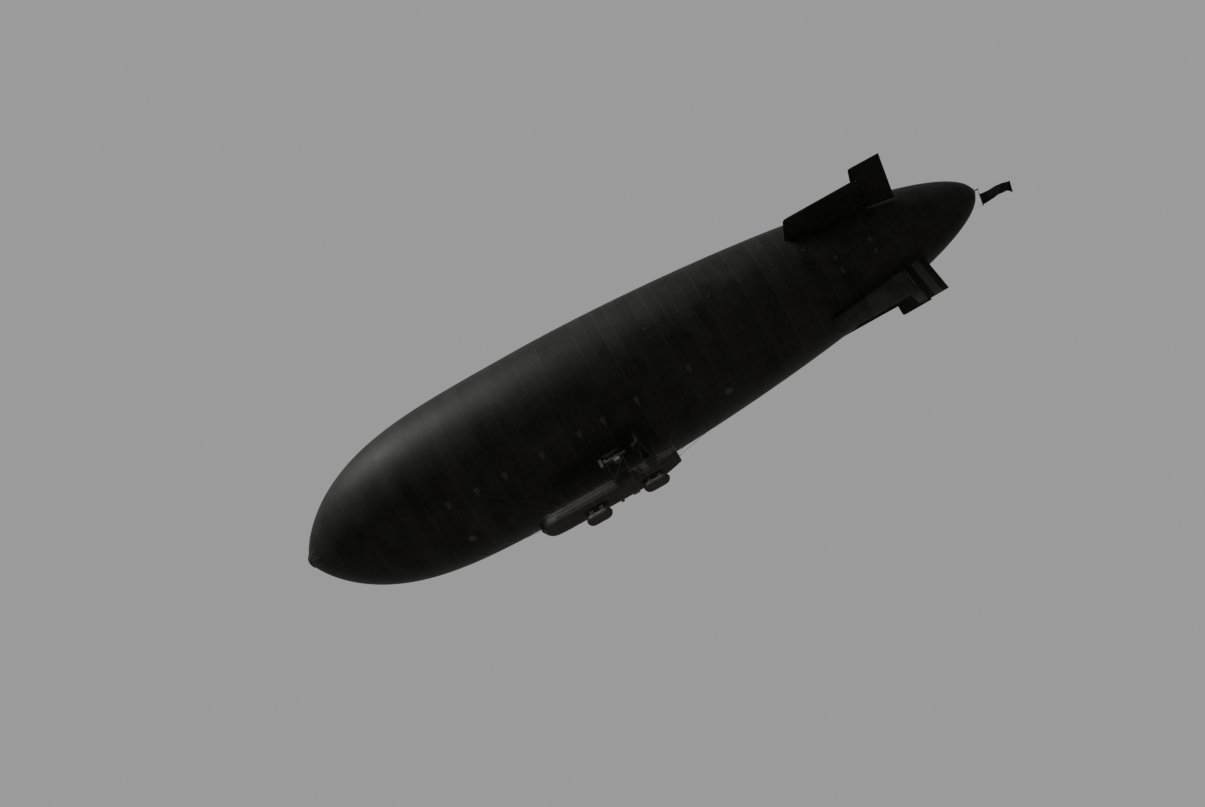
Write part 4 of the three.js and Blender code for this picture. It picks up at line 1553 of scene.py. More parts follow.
def build_bed(side, sign):
    y = sign * ENGINE_Y
    bed = Piece()
    for offset in (-RAIL_GAUGE, RAIL_GAUGE):
        inner = y + sign * offset
        for z0, z1 in ((BED_TOP - 0.006, BED_TOP), (BED_TOP - 0.035, BED_TOP - 0.029)):
            bed.box((at(12.16), inner - 0.015, z0), (at(12.99), inner + 0.015, z1))
        bed.box((at(12.16), inner - 0.003, BED_TOP - 0.032),
                (at(12.99), inner + 0.003, BED_TOP - 0.003))
    for aft in STRUTS_AT:
        bed.box((at(aft) - 0.018, y - 0.095, BED_MIDDLE - 0.0155),
                (at(aft) + 0.018, y + 0.095, BED_MIDDLE + 0.0155))
        near, far = sorted((sign * 0.358, sign * 0.374))
        bed.box((at(aft) - 0.045, near, GUNWALE - 0.215), (at(aft) + 0.045, far, GUNWALE - 0.065))
    bed.done(side + "_engine_bed", steel, replaces=[side + "_outrigger"], slot="steel", bevel=0.002)


print("engines stand %.2f m to each side" % ENGINE_Y)

# %% Struts


def build_struts(side, sign):
    y = sign * ENGINE_Y
    struts, ends = Piece(), Piece()
    for aft in STRUTS_AT:
        for out, z, reach in ((0.366, GUNWALE - 0.13, -0.08), (0.32, KEEL + 0.15, 0.08)):
            a = Vector((at(aft), sign * out, z))
            b = Vector((at(aft), y + sign * reach, BED_MIDDLE))
            way = (b - a).normalized()
            struts.tube([a.lerp(b, share) for share in (0, 0.1, 0.3, 0.7, 0.9, 1)], 0.021, 16,
                        flat=0.66, taper=lambda s: 0.72 + 0.28 * math.sin(math.pi * s))
            for p, d in ((a, way), (b, -way)):
                ends.lathe([(0.0, 0.017), (0.03, 0.0195), (0.075, 0.0195), (0.085, 0.016)],
                           p + d * 0.02, d, 14)
                pin = p + d * 0.05
                ends.rod(pin - Vector((0.026, 0, 0)), pin + Vector((0.026, 0, 0)), 0.007, 6)
    struts.tube([Vector((at(STRUTS_AT[0]), sign * 0.366, GUNWALE - 0.13)),
                 Vector((at(STRUTS_AT[1]), y - sign * 0.08, BED_MIDDLE))], 0.012, 12)
    struts.done(side + "_struts", steel)
    ends.done(side + "_strut_ends", spun)


print("struts meet the bed's cross bars", STRUTS_AT, "m aft")

# %% [markdown]
# ## Engine block
#
# Each engine is a water-cooled V of eight cylinders. Its crankcase is a cast box with
# four ribs, which is one outline moved aft and made a little larger at each rib. The
# nose of the case, where the shaft comes out, is turned, so it is a profile spun about
# the shaft. A bevel rounds the casting's edges.

# %% Crankcase
CYLINDERS = [12.325 + 0.117 * k for k in range(4)]


def engine_spot(sign, along, across, up):
    """A point from the nose aft, across from the shaft and up from it."""
    return Vector((at(along), sign * ENGINE_Y + across, SHAFT_Z + up))


def build_crankcase(side, sign):
    foot = BED_TOP + CLEAR - SHAFT_Z
    block = Piece()
    block.box(engine_spot(sign, 12.235, -0.095, foot),
              engine_spot(sign, 12.765, 0.095, foot + 0.024))
    outline = [(-0.052, -0.09), (-0.075, -0.06), (-0.075, 0.03), (-0.05, 0.088), (0.05, 0.088),
               (0.075, 0.03), (0.075, -0.06), (0.052, -0.09)]
    stations = [(12.245, 0.82), (12.252, 1)]
    for k in range(4):
        rib = 12.31 + 0.125 * k
        stations += [(rib - 0.010, 1), (rib - 0.006, 1.06), (rib + 0.006, 1.06), (rib + 0.010, 1)]
    stations += [(12.748, 1), (12.755, 0.82)]
    block.rings([[engine_spot(sign, a, u * size, v * size) for u, v in outline]
                 for a, size in stations])
    block.lathe([(12.740, 0.078), (12.752, 0.078), (12.756, 0.070), (12.80, 0.066), (12.87, 0.052),
                 (12.93, 0.043), (12.985, 0.040), (13.000, 0.034)],
                (-LIFT_CENTRE, sign * ENGINE_Y, SHAFT_Z), AFT, 28)
    for t in around(8):
        block.lathe([(0, 0.006), (0.008, 0.006)],
                    engine_spot(sign, 12.752, 0.073 * math.cos(t), 0.073 * math.sin(t)), AFT, 6)
    block.done(side + "_crankcase", enamel, replaces=[side + "_engine"], slot="engine_metal",
               bevel=0.003)


print("cylinders stand %.0f mm apart" % (1000 * (CYLINDERS[1] - CYLINDERS[0])))

# %% [markdown]
# ## Cylinders, covers and pipes
#
# Both banks lean out by 45 degrees. Each has four finned steel cylinders, one long
# cover over its cams with a row of brass nuts, and an exhaust pipe that collects four
# stubs. Each bank could be modelled once and mirrored. A loop over the two leans keeps
# every piece a plain mesh, so that is how they are made.

# %% Pipe steel
# Mild steel tube that has glowed until it scaled. The eye sees a rough brown and grey
# skin with no shine. Its scale, under 1 mm, is drawn in spots 4 mm wide.
rusty = finish("scaled_mild_steel", "#1c1512", "#3a2c23", 0.75, 45, depth=0.5, spacing=4,
               Metallic=0.4)

# %% Cylinders
FINS = 4


def add_cylinder(sign, lean, along, root, up, banks, pipes, fittings):
    foot = root + Vector((at(along), 0, 0))
    rows = [(0.0, 0.047), (0.012, 0.047), (0.016, 0.041), (0.026, 0.041)]
    for fin in range(FINS):
        s = 0.032 + 0.019 * fin
        rows += [(s, 0.041), (s + 0.003, 0.045), (s + 0.007, 0.045), (s + 0.010, 0.041)]
    banks.lathe(rows + [(0.108, 0.041), (0.112, 0.050), (0.122, 0.050)], foot, up, 24)
    out = Vector((0, lean, 0))
    port = foot + up * 0.125 + out * 0.018
    bend = Vector((port.x + 0.03, sign * ENGINE_Y + lean * 0.19, SHAFT_Z + 0.095))
    pipes.tube(cut_corners([port, port + out * 0.035 + Vector((0, 0, -0.008)), bend], 2), 0.015, 10)
    plug = foot + Vector((0.045, 0, 0))
    fittings.rod(plug + up * 0.118, plug + up * 0.150, 0.007, 6)


print("fins on each cylinder:", FINS)

# %% Covers and pipes
COVER_NUTS = 7


def add_cover(lean, root, up, covers, fittings):
    top = root + up * 0.150
    across = Vector((0, lean * math.sqrt(0.5), -math.sqrt(0.5)))
    shape = [(-0.052, -0.030), (-0.052, 0.004), (-0.036, 0.022), (0.036, 0.022), (0.052, 0.004),
             (0.052, -0.030)]
    covers.rings([[top + Vector((at(a), 0, 0)) + across * u * s + up * v * s for u, v in shape]
                  for a, s in ((12.262, 0.86), (12.270, 1), (12.730, 1), (12.738, 0.86))])
    for k in range(COVER_NUTS):
        nut = top + Vector((at(12.30 + 0.067 * k), 0, 0)) + up * 0.021
        fittings.lathe([(0, 0.007), (0.006, 0.007), (0.010, 0.004)], nut, up, 6)


def add_pipes(sign, lean, pipes, fittings):
    """The exhaust beside one bank, and the brass inlet pipe in the V."""
    run = [engine_spot(sign, along, lean * 0.19, 0.095) for along in (12.25, 12.60, 12.82)]
    run.append(engine_spot(sign, 12.865, lean * 0.20, 0.075))
    pipes.tube(cut_corners(run, 2), 0.024, 14)
    pipes.lathe([(0, 0.020), (0.006, 0.026), (0.012, 0.020)], run[0] - Vector((0.012, 0, 0)),
                AFT, 14)
    inlet = [(12.30, 0.03, 0.125), (12.34, 0.055, 0.155), (12.66, 0.055, 0.155),
             (12.70, 0.03, 0.125)]
    fittings.tube(cut_corners([engine_spot(sign, along, lean * across, up)
                               for along, across, up in inlet], 2), 0.013, 10)


print("nuts on each cover:", COVER_NUTS)

# %% Both banks


def build_banks(side, sign):
    banks, covers, pipes, fittings = Piece(), Piece(), Piece(), Piece()
    for lean in (-1, 1):
        up = Vector((0, lean * math.sqrt(0.5), math.sqrt(0.5)))
        root = engine_spot(sign, 0, lean * 0.045, 0.035)
        root.x = 0
        for along in CYLINDERS:
            add_cylinder(sign, lean, along, root, up, banks, pipes, fittings)
        add_cover(lean, root, up, covers, fittings)
        add_pipes(sign, lean, pipes, fittings)
    banks.done(side + "_cylinders", steel)
    covers.done(side + "_cam_covers", enamel, bevel=0.004)
    pipes.done(side + "_exhausts", rusty)
    fittings.lathe([(-0.03, 0.026), (0, 0.030), (0.03, 0.026)], engine_spot(sign, 12.5, 0, 0.125),
                   AFT, 16)
    fittings.rod(engine_spot(sign, 12.5, 0, 0.07), engine_spot(sign, 12.5, 0, 0.15), 0.016, 14)
    for lean in (-1, 1):
        fittings.lathe([(0, 0.024), (0.035, 0.026), (0.045, 0.018)],
                       engine_spot(sign, 12.248, lean * 0.042, 0.02), (-1, 0, 0), 16)
    fittings.done(side + "_engine_fittings", brass)
    shaft = Piece()
    shaft.rod(engine_spot(sign, 12.99, 0, 0), engine_spot(sign, 13.125, 0, 0), 0.0155, 20)
    shaft.done(side + "_shaft", steel)


print("cylinders in an engine:", 2 * len(CYLINDERS))

# %% [markdown]
# ## Radiator and oil tank
#
# The radiator stands ahead of the engine: a pressed steel case round a brass core of
# thin plates. Real plates are 0.1 mm thick and too many to model, so 38 thicker ones
# stand for them, crossed by 24 upright ones. The oil tank hangs under the bed in two
# straps. It is a box with a wide bevel, as a beaten tank has.

# %% Finishes of the radiator
# Stove enamel, baked on pressed steel. The eye sees a smooth deep black. Its fine
# ripple is drawn 5 mm wide.
case_enamel = finish("stove_enamel", "#0f1010", "#1c1d1d", 0.6, 120, depth=0.2, spacing=5,
                     Specular_IOR_Level=0.35)
# Brass strip, soldered and then blackened by heat and dust. The eye sees dull dark
# brown edges. Its crust is drawn in spots 5 mm wide.
radiator_core = finish("blackened_brass", "#120f0a", "#2f2617", 0.55, 40, depth=0.1, spacing=5,
                       Metallic=0.5)
# Canvas spread with rubber and rolled smooth. The eye sees a dark, slightly slick skin
# with the weave just showing. Threads of 0.6 mm are drawn 3 mm apart.
rubber = finish("rubbered_canvas", "#100f0e", "#1f1e1b", 0.50, 140, relief="weave", depth=0.4,
                spacing=3, worn=0.2)

# %% Radiator
PLATES, UPRIGHTS = 38, 24


def build_radiator(side, sign):
    y = sign * ENGINE_Y
    x0, x1 = at(12.03), at(12.16) - CLEAR
    case, core, hose = Piece(), Piece(), Piece()
    case.box((x0, y - 0.125, -4.43), (x1, y + 0.125, -4.395))
    case.box((x0, y - 0.125, -4.055), (x1, y + 0.125, -3.99))
    for s in (-1, 1):
        inner, outer = sorted((y + s * 0.108, y + s * 0.125))
        case.box((x0, inner, -4.40), (x1, outer, -4.05))
    case.lathe([(-0.004, 0.026), (0.010, 0.026), (0.012, 0.033), (0.026, 0.033), (0.030, 0.026)],
               ((x0 + x1) / 2, y, -3.994), UP, 20)
    case.done(side + "_radiator_case", case_enamel, replaces=[side + "_radiator"],
              slot="radiator_brass", bevel=0.006)
    core.box((x0 + 0.040, y - 0.110, -4.398), (x1 - 0.040, y + 0.110, -4.052))
    for z in spread(-4.388, -4.062, PLATES):
        core.box((x0 + 0.008, y - 0.109, z - 0.0010), (x1 - 0.008, y + 0.109, z + 0.0010))
    for across in spread(-0.099, 0.099, UPRIGHTS):
        core.box((x0 + 0.010, y + across - 0.0009, -4.397),
                 (x1 - 0.010, y + across + 0.0009, -4.053))
    core.done(side + "_radiator_core", radiator_core)
    route = [(x1 - 0.02, -4.03), (x1 + 0.04, -4.02), (x1 + 0.07, -4.03),
             (at(12.33), SHAFT_Z + 0.10)]
    hose.tube(cut_corners([(x, y, z) for x, z in route], 2), 0.018, 12)
    hose.done(side + "_water_hose", rubber)


print("plates are %.1f mm apart" % ((4388 - 4062) / (PLATES - 1)))

# %% Oil tank
TANK_STRAPS = (12.62, 12.79)
STRAP_CORNER = 0.02


def build_oil_tank(side, sign):
    y = sign * ENGINE_Y
    tank, straps = Piece(), Piece()
    tank.box((at(12.56), y - 0.105, -4.435), (at(12.85), y + 0.105, BED_TOP - 0.0353))
    tank.done(side + "_oil_tank_shell", spun, replaces=[side + "_oil_tank"], slot="fitting_metal",
              bevel=0.022)
    for aft in TANK_STRAPS:
        corners = [Vector((at(aft), y + across, z)) for across, z in
                   ((-0.107, -4.437), (0.107, -4.437), (0.107, -4.266), (-0.107, -4.266))]
        rounded = []
        for k, corner in enumerate(corners):
            for other in (corners[k - 1], corners[(k + 1) % 4]):
                rounded.append(corner + (other - corner).normalized() * STRAP_CORNER)
        straps.tube(rounded, 0.010, 6, loop=True, flat=0.3)
    straps.done(side + "_oil_tank_straps", steel)


print("radiators stand %.2f m ahead of the shaft ends" % (13.0 - 12.16))

# %% [markdown]
# ## Airscrews
#
# An airscrew is glued up from walnut boards, carved by hand and tipped with brass. Its
# blade is a row of sections along the radius, each turned to its own pitch: the screw
# moves 0.6 m ahead in one turn. The two screws turn opposite ways, so one is carved as
# the other's mirror image. They are parked at a slant, as the CAD has them.

# %% Laminated walnut


def laminated(name, dark, light, board):
    """Walnut boards glued face to face across the shaft, board thick, in metres."""
    made, tree, shader = new_material(name, light, 0.28, Coat_Weight=0.5, Coat_Roughness=0.15)
    place = add(tree, "TexCoord").outputs["Object"]
    count = add(tree, "Math", (add(tree, "SeparateXYZ", (place,)), board), operation="DIVIDE")
    layer = add(tree, "Math", (count,), operation="FLOOR")
    tone = add(tree, "TexWhiteNoise", {"W": layer}, noise_dimensions="1D").outputs["Value"]
    fine = add(tree, "VectorMath", (place, (6, 1, 1)), operation="MULTIPLY")
    figure = add(tree, "TexNoise", {"Vector": fine, "Scale": 26.0, "Detail": 6.0})
    tone = add(tree, "Math", (tone, 0.6), operation="MULTIPLY")
    share = add(tree, "Math", (figure, 0.5, tone), operation="MULTIPLY_ADD")
    tones = add(tree, "Mix", {0: share, 6: linear(dark), 7: linear(light)}, data_type="RGBA")
    tree.links.new(tones.outputs[2], shader.inputs["Base Color"])
    gloss = add(tree, "MapRange", (figure, 0.3, 0.7, 0.36, 0.22))
    tree.links.new(gloss.outputs[0], shader.inputs["Roughness"])
    return made


# Walnut boards 8 mm thick, glued, carved and varnished. The eye sees light and dark
# layers that curve over the blade under a clear gloss. Pores of 0.3 mm are drawn as a
# figure 6 mm by 40 mm.
airscrew_wood = laminated("laminated_walnut", "#1d1009", "#4a2e1b", 0.008)

# %% Blade sections
PROPELLER_AT = 13.06
PARKED = 49
ADVANCE = 0.6
WHOLE_BLADE = [-1, -0.94, -0.8, -0.55, -0.25, 0.05, 0.3, 0.55, 0.75, 0.9, 0.98, 1.0]
LEADING_EDGE = [0.55, 0.75, 0.9, 0.98, 1.0]
BACK = [(-1, 0.10), (-0.7, 0.66), (-0.25, 0.93), (0.2, 1), (0.55, 0.86), (0.8, 0.56), (0.95, 0.26),
        (1, 0.02)]
CHORDS = [(0.0, 0.030), (0.06, 0.030), (0.12, 0.040), (0.3, 0.058), (0.48, 0.052), (0.56, 0.040),
          (0.59, 0.029), (0.6, 0.012)]
THICKS = [(0.0, 0.030), (0.06, 0.028), (0.12, 0.021), (0.3, 0.013), (0.48, 0.008), (0.6, 0.003)]
RADII = [0.0, 0.03, 0.06, 0.09, 0.12, 0.16, 0.2, 0.25, 0.3, 0.35, 0.4, 0.44, 0.48, 0.52, 0.55,
         0.575, 0.59, 0.597, 0.6]


def blade_ring(r, sign, across=WHOLE_BLADE, grow=0.0):
    """The blade's section at radius r, blown up by grow for the sheath of its tip."""
    pitch = math.atan2(ADVANCE / 2, math.pi * max(r, 0.06)) * sign
    chord, thick = mix(CHORDS, r), mix(THICKS, r)
    upper = [(c * chord + grow * (c > 0.9), mix(BACK, c) * thick + grow) for c in across]
    ring = upper + [(c, -0.8 * t) for c, t in reversed(upper[:-1])]
    return [Vector((at(PROPELLER_AT) + c * math.sin(pitch) + t * math.cos(pitch),
                    c * math.cos(pitch) - t * math.sin(pitch), r)) for c, t in ring]


print("sections in a blade:", len(RADII))

# %% Airscrews


def build_airscrew(side, sign):
    turn = Matrix.Rotation(math.radians(PARKED - 90), 3, "X")
    middle = Vector((0, sign * ENGINE_Y, SHAFT_Z))
    blades, tips, plates = Piece(), Piece(), Piece()
    for half in (0, math.pi):
        spin = turn @ Matrix.Rotation(half, 3, "X")
        blades.rings([[middle + spin @ p for p in blade_ring(r, sign)] for r in RADII])
        tips.rings([[middle + spin @ p for p in blade_ring(r, sign, LEADING_EDGE, 0.0012)]
                    for r in RADII if 0.35 <= r < 0.6])
    hub = Vector((at(PROPELLER_AT), middle.y, middle.z))
    blades.lathe([(-0.036, 0.046), (-0.030, 0.052), (0.030, 0.052), (0.036, 0.046)], hub,
                 AFT, 32)
    blades.done(side + "_airscrew", airscrew_wood, side + "_propeller",
                replaces=[side + "_propeller"], slot="airscrew_wood", angle=60)
    tips.done(side + "_airscrew_tips", brass, side + "_propeller")
    for face in (-1, 1):
        plates.lathe([(face * 0.034, 0.047), (face * 0.040, 0.047), (face * 0.042, 0.043),
                      (face * 0.042, 0.019)], hub, AFT, 32, caps=False)
        for t in around(6):
            plates.lathe([(face * 0.040, 0.0055), (face * 0.048, 0.0055)],
                         hub + Vector((0, 0.034 * math.cos(t), 0.034 * math.sin(t))), AFT, 6)
    plates.done(side + "_airscrew_plates", steel, side + "_propeller")


print("blades are parked at %d degrees" % PARKED)

# %% [markdown]
# ## Air scoops
#
# Behind each airscrew, a linen trunk on steel hoops takes air up into the hull and
# keeps it firm. It is a tube with two walls along a bent route, and its cloth sinks
# 6 mm between the hoops. Two stays hold its upright leg off the car.

# %% Route of the trunk
TRUNK = 0.130
HOOP_GAP = 0.2
ELBOW = 0.155
UPRIGHT_AT, TRUNK_TOP = 13.685, -2.92


def trunk_route(sign):
    y = sign * ENGINE_Y
    mouth = at(13.40)
    route = [Vector((mouth + d, y, SHAFT_Z)) for d in (0, 0.03, 0.08, 0.13)]
    for step in range(1, 10):
        t = math.radians(step * 9)
        route.append(Vector((mouth + 0.13 + ELBOW * math.sin(t), y,
                             SHAFT_Z + ELBOW * (1 - math.cos(t)))))
    corner = SHAFT_Z + ELBOW
    return route + [Vector((at(UPRIGHT_AT), y, z)) for z in spread(corner, TRUNK_TOP, 41)]


print("a trunk is %.2f m across, on %d points" % (2 * TRUNK, len(trunk_route(1))))

# %% Trunk, hoops and stays


def trunk_wall(route, radius):
    rings = []
    for i, p in enumerate(route):
        ahead = route[min(i + 1, len(route) - 1)] - route[max(i - 1, 0)]
        upright = STARBOARD.cross(ahead).normalized()
        hangs = p.z > SHAFT_Z + ELBOW
        slack = 0.006 * abs(math.sin(math.pi * p.z / HOOP_GAP)) if hangs else 0
        rings.append([p + (radius - slack) * (math.cos(t) * STARBOARD + math.sin(t) * upright)
                      for t in spread(0, 2 * math.pi * 39 / 40, 40)])
    return rings


def build_trunk(side, sign):
    route = trunk_route(sign)
    trunk, hoops, stays = Piece(), Piece(), Piece()
    trunk.rings(trunk_wall(route, TRUNK) + list(reversed(trunk_wall(route, TRUNK - 0.008))),
                loop=True)
    trunk.done(side + "_air_trunk", fin_cloth, replaces=[side + "_air_scoop"], slot="hull_fabric",
               angle=60)
    for i, p in enumerate(route):
        near = abs(p.z - round(p.z / HOOP_GAP) * HOOP_GAP) < 0.014
        if i == 0 or (p.z > SHAFT_Z + ELBOW and near):
            hoops.tube(circle(p, TRUNK, AFT if i == 0 else UP, 40), 0.005, 8, loop=True)
    for quarter in (0.25, 0.75, 1.25, 1.75):
        t = quarter * math.pi
        a = route[0] + Vector((0.01, 0.128 * math.cos(t), 0.128 * math.sin(t)))
        hoops.rod(a, a + Vector((0.13, 0, 0)), 0.004, 6)
    hoops.done(side + "_trunk_hoops", steel)
    for reach in (-0.03, 0.03):
        stays.tube([(at(UPRIGHT_AT) + reach, sign * (ENGINE_Y - TRUNK), SHAFT_Z + 0.2),
                    (at(UPRIGHT_AT) + 6 * reach, sign * 0.40, GUNWALE - 0.01)], 0.008, 8)
    stays.done(side + "_trunk_stays", steel)


print("hoops stand %.1f m apart" % HOOP_GAP)

# %% Both sides
for side, sign in SIDES.items():
    build_bed(side, sign)
    build_struts(side, sign)
    build_crankcase(side, sign)
    build_banks(side, sign)
    build_radiator(side, sign)
    build_oil_tank(side, sign)
    build_airscrew(side, sign)
    build_trunk(side, sign)

# %% [markdown]
# ## Suspension
#
# The car hangs from eight steel cables on each side. Each starts at an eye on the
# gunwale rail, passes a turnbuckle and ends in a ring, from which five cloth fingers
# spread over the hull's skin and share the load. The cables are taut, so each is one
# straight tube. The fingers are the same strips that make the hull's tapes.

# %% Cloth fingers
CABLES = [(9.62, 6.3), (9.95, 7.5), (10.4, 8.7), (11.15, 10.3), (11.95, 11.9), (12.9, 12.93),
          (14.0, 14.4), (14.64, 16.7)]
PATCH_Y = 1.65


def add_fingers(patches, high, angle, sign):
    """Five fingers spread upwards from a ring, over a square root patch."""
    radius = hull_radius(high)
    for k in range(-2, 3):
        tip = (high + 0.052 * k, angle + sign * (0.168 - 0.012 * abs(k)) / radius)
        foot = (high + 0.012 * k, angle - sign * 0.150 / radius)
        hull_strip(patches, [foot, tip], 0.043, 0.007 + 0.001 * (k % 2), 6)
    root = angle - sign * 0.05
    hull_strip(patches, [(high - 0.06, root), (high + 0.06, root)], 0.05, 0.010, 4)


print("cables on each side:", len(CABLES))

# %% Cables


def build_suspension(side, sign):
    rail_y = sign * 0.3903
    rail, cables, patches, fittings = Piece(), Piece(), Piece(), Piece()
    rail.box((at(9.5), rail_y - 0.015, GUNWALE - 0.03), (at(14.7), rail_y + 0.015, GUNWALE))
    for low, high in CABLES:
        angle = sign * math.asin(PATCH_Y / hull_radius(high))
        start = Vector((at(low), rail_y, GUNWALE - 0.012))
        end = hull_point(high, angle - sign * 0.155 / hull_radius(high), 0.020)
        way = (end - start).normalized()
        cables.tube([start, start.lerp(end, 0.5), end], 0.0065, 8)
        fittings.lathe([(-0.03, 0.007), (-0.02, 0.016), (0.0, 0.017), (0.02, 0.016), (0.03, 0.007)],
                       start, AFT, 12)
        fittings.lathe([(0, 0.008), (0.012, 0.015), (0.05, 0.012), (0.15, 0.012), (0.188, 0.015),
                        (0.20, 0.008)], start + way * 0.10, way, 12)
        fittings.tube(circle(end, 0.028, way.cross(AFT), 20), 0.0055, 8, loop=True)
        add_fingers(patches, high, angle, sign)
    rail.done(side + "_gunwale_rail", ash_dark, replaces=[side + "_suspension"], slot="steel",
              bevel=0.006)
    cables.done(side + "_cables", wire)
    patches.done(side + "_finger_patches", patch_cloth)
    fittings.done(side + "_turnbuckles", spun)


for side, sign in SIDES.items():
    build_suspension(side, sign)

# %% [markdown]
# ## Control lines
#
# Four thin lines run aft from the car to the tail, two under the belly and two along
# the flanks. Each goes through guides that stand on glued patches. A line could be a
# curve on the skin. A tube from guide to guide is what a taut line does.

# %% Control lines
CONTROL_RUNS = [
    # angle from the keel, way out and place at the car, first and last guide
    (0.16, 0.30, 14.70, 16.6, 22.9),
    (1.25, 0.36, 14.60, 16.0, 22.7),
]


def build_controls():
    lines, guides = Piece(), Piece()
    for slope, out, low, first, last in CONTROL_RUNS:
        for sign in (-1, 1):
            angle = sign * slope
            stops = spread(first, last, 6)
            lines.tube([Vector((at(low), sign * out, GUNWALE + 0.01))]
                       + [hull_point(a, angle, 0.035) for a in stops], 0.0032, 6)
            for a in stops:
                hull_strip(guides, [(a - 0.06, angle), (a + 0.06, angle)], 0.07, 0.005, 4, 1.0)
                guides.rod(hull_point(a, angle, 0), hull_point(a, angle, 0.045), 0.012, 8)
    lines.done("control_lines", wire)
    guides.done("control_line_guides", patch_cloth)


build_controls()

# %% [markdown]
# ## Cloth that swells
#
# The bumper bags are blown up tight and the cushions are stuffed, so their cloth rises
# between its seams. Sculpting could show that, and a Cloth modifier with pressure gives
# it by the same rule as real cloth. It runs for twenty frames with the seams held, and
# then its result is kept as plain points.

# %% Cloth that swells


def settle(piece, held, pressure, limit, frames=20):
    """Swells a closed cloth form; held points stay, and no point moves past the limit."""
    group = piece.vertex_groups.new(name="held")
    group.add(held, 1.0, "REPLACE")
    cloth = piece.modifiers.new("cloth", "CLOTH")
    cloth.settings.quality = 6
    cloth.settings.mass = 0.3
    cloth.settings.vertex_group_mass = "held"
    cloth.settings.use_pressure = True
    cloth.settings.uniform_pressure_force = pressure
    cloth.settings.effector_weights.gravity = 0
    cloth.point_cache.frame_end = frames
    for step in range(1, frames + 1):
        scene.frame_set(step)
    swelled = piece.evaluated_get(bpy.context.evaluated_depsgraph_get()).to_mesh()
    moves = [b.co - a.co for a, b in zip(piece.data.vertices, swelled.vertices)]
    piece.modifiers.remove(cloth)
    piece.vertex_groups.remove(group)
    for vertex, move in zip(piece.data.vertices, moves):
        if move.length > limit:
            move = move.normalized() * limit
        vertex.co += move
    scene.frame_set(1)
    largest = max(move.length for move in moves)
    print("%s swelled by up to %.1f mm" % (piece.name, 1000 * min(largest, limit)))


print("the cloth swells in this run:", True)

# %% [markdown]
# ## Bumper bags
#
# Two bags of rubbered canvas take the car's landing. Each is cut in ten gores, taped
# over its seams, held up by two webbing straps and blown up through a brass valve. The
# starting form is a profile spun about X, a little under its true size, and the cloth
# swells by about 1 mm between the held seams.

# %% Outline of a bag
# Cotton webbing, woven and boiled. The eye sees a soft dull band. Its threads of 0.8 mm
# are drawn 3 mm apart.
webbing = finish("cotton_webbing", "#2b281f", "#453f32", 0.85, 30, relief="weave", depth=0.5,
                 spacing=3)

BAGS = [("fore", 11.125, -5.54, 0.520, 0.228), ("aft", 13.58, -5.45, 0.525, 0.218)]
BAG_END = [(-1, 0.02), (-0.995, 0.13), (-0.985, 0.25), (-0.965, 0.38), (-0.93, 0.53), (-0.88, 0.67),
           (-0.81, 0.80), (-0.73, 0.895), (-0.64, 0.955), (-0.54, 0.988), (-0.44, 1)]
GORES = 10
ROUND = 80
LENGTH_SHARE, ROUND_SHARE = 0.985, 0.972
STRAP_AT = 0.16
RACK_HALF = 0.153


def bag_rows(half, radius):
    """Places along the bag and radii, in metres, before the cloth swells."""
    shares = BAG_END + [(s, 1) for s in spread(-0.36, 0.36, 15)]
    shares += [(-s, r) for s, r in reversed(BAG_END)]
    return [(s * half * LENGTH_SHARE, r * radius * ROUND_SHARE) for s, r in shares]


print("a gore is %.0f mm wide" % (2000 * math.pi * BAGS[0][4] / GORES))

# %% Canvas of a bag


def build_bag_canvas(end, centre, rows):
    bag = Piece().lathe(rows, centre, AFT, ROUND)
    piece = bag.done(end + "_bag_canvas", rubber, replaces=[end + "_bumper_bag"], slot="bag_rubber",
                     angle=80)
    held = []
    for i, (along, _) in enumerate(rows):
        strapped = abs(abs(along) / LENGTH_SHARE - STRAP_AT) < 0.012
        for k in range(ROUND):
            if k % (ROUND // GORES) == 0 or strapped or i < 2 or i > len(rows) - 3:
                held.append(i * ROUND + k)
    settle(piece, held, 6.0, 0.007)
    fine = piece.modifiers.new("fine", "SUBSURF")
    fine.levels = fine.render_levels = 1


print("%d points round a bag" % ROUND)

# %% Tapes and straps of a bag


def build_bag_tapes(end, centre, half, rows):
    tapes = Piece()
    first = AFT.orthogonal().normalized()
    other = AFT.cross(first)
    for t in around(GORES):
        out = math.cos(t) * first + math.sin(t) * other
        tapes.ribbon([centre + AFT * along + out * (r + 0.0015) for along, r in rows[1:-1]],
                     AFT.cross(out) * 0.008, 0.003)
    for s in (-1, 1):
        tapes.lathe([(s * half * 0.97, 0.058), (s * (half * LENGTH_SHARE + 0.004), 0.050),
                     (s * (half * LENGTH_SHARE + 0.004), 0.0)], centre, AFT, 28, caps=False)
    tapes.done(end + "_bag_tapes", patch_cloth)


def build_bag_straps(end, centre, radius):
    straps = Piece()
    rack = KEEL - 0.012 - centre.z
    grip = radius * ROUND_SHARE + 0.0025
    leave = math.atan2(RACK_HALF, rack) + math.acos(grip / math.hypot(RACK_HALF, rack))
    curve = [(grip * math.sin(t), grip * math.cos(t))
             for t in spread(leave, 2 * math.pi - leave, 33)]
    for x in (-STRAP_AT, STRAP_AT):
        route = [(RACK_HALF, rack)] + curve + [(-RACK_HALF, rack)]
        straps.ribbon([centre + Vector((x, y, up)) for y, up in route], AFT * 0.019, 0.003)
        for sign in (-1, 1):
            straps.box(centre + Vector((x - 0.024, sign * RACK_HALF - 0.004, rack - 0.05)),
                       centre + Vector((x + 0.024, sign * RACK_HALF + 0.004, rack - 0.02)))
    straps.done(end + "_bag_straps", webbing)


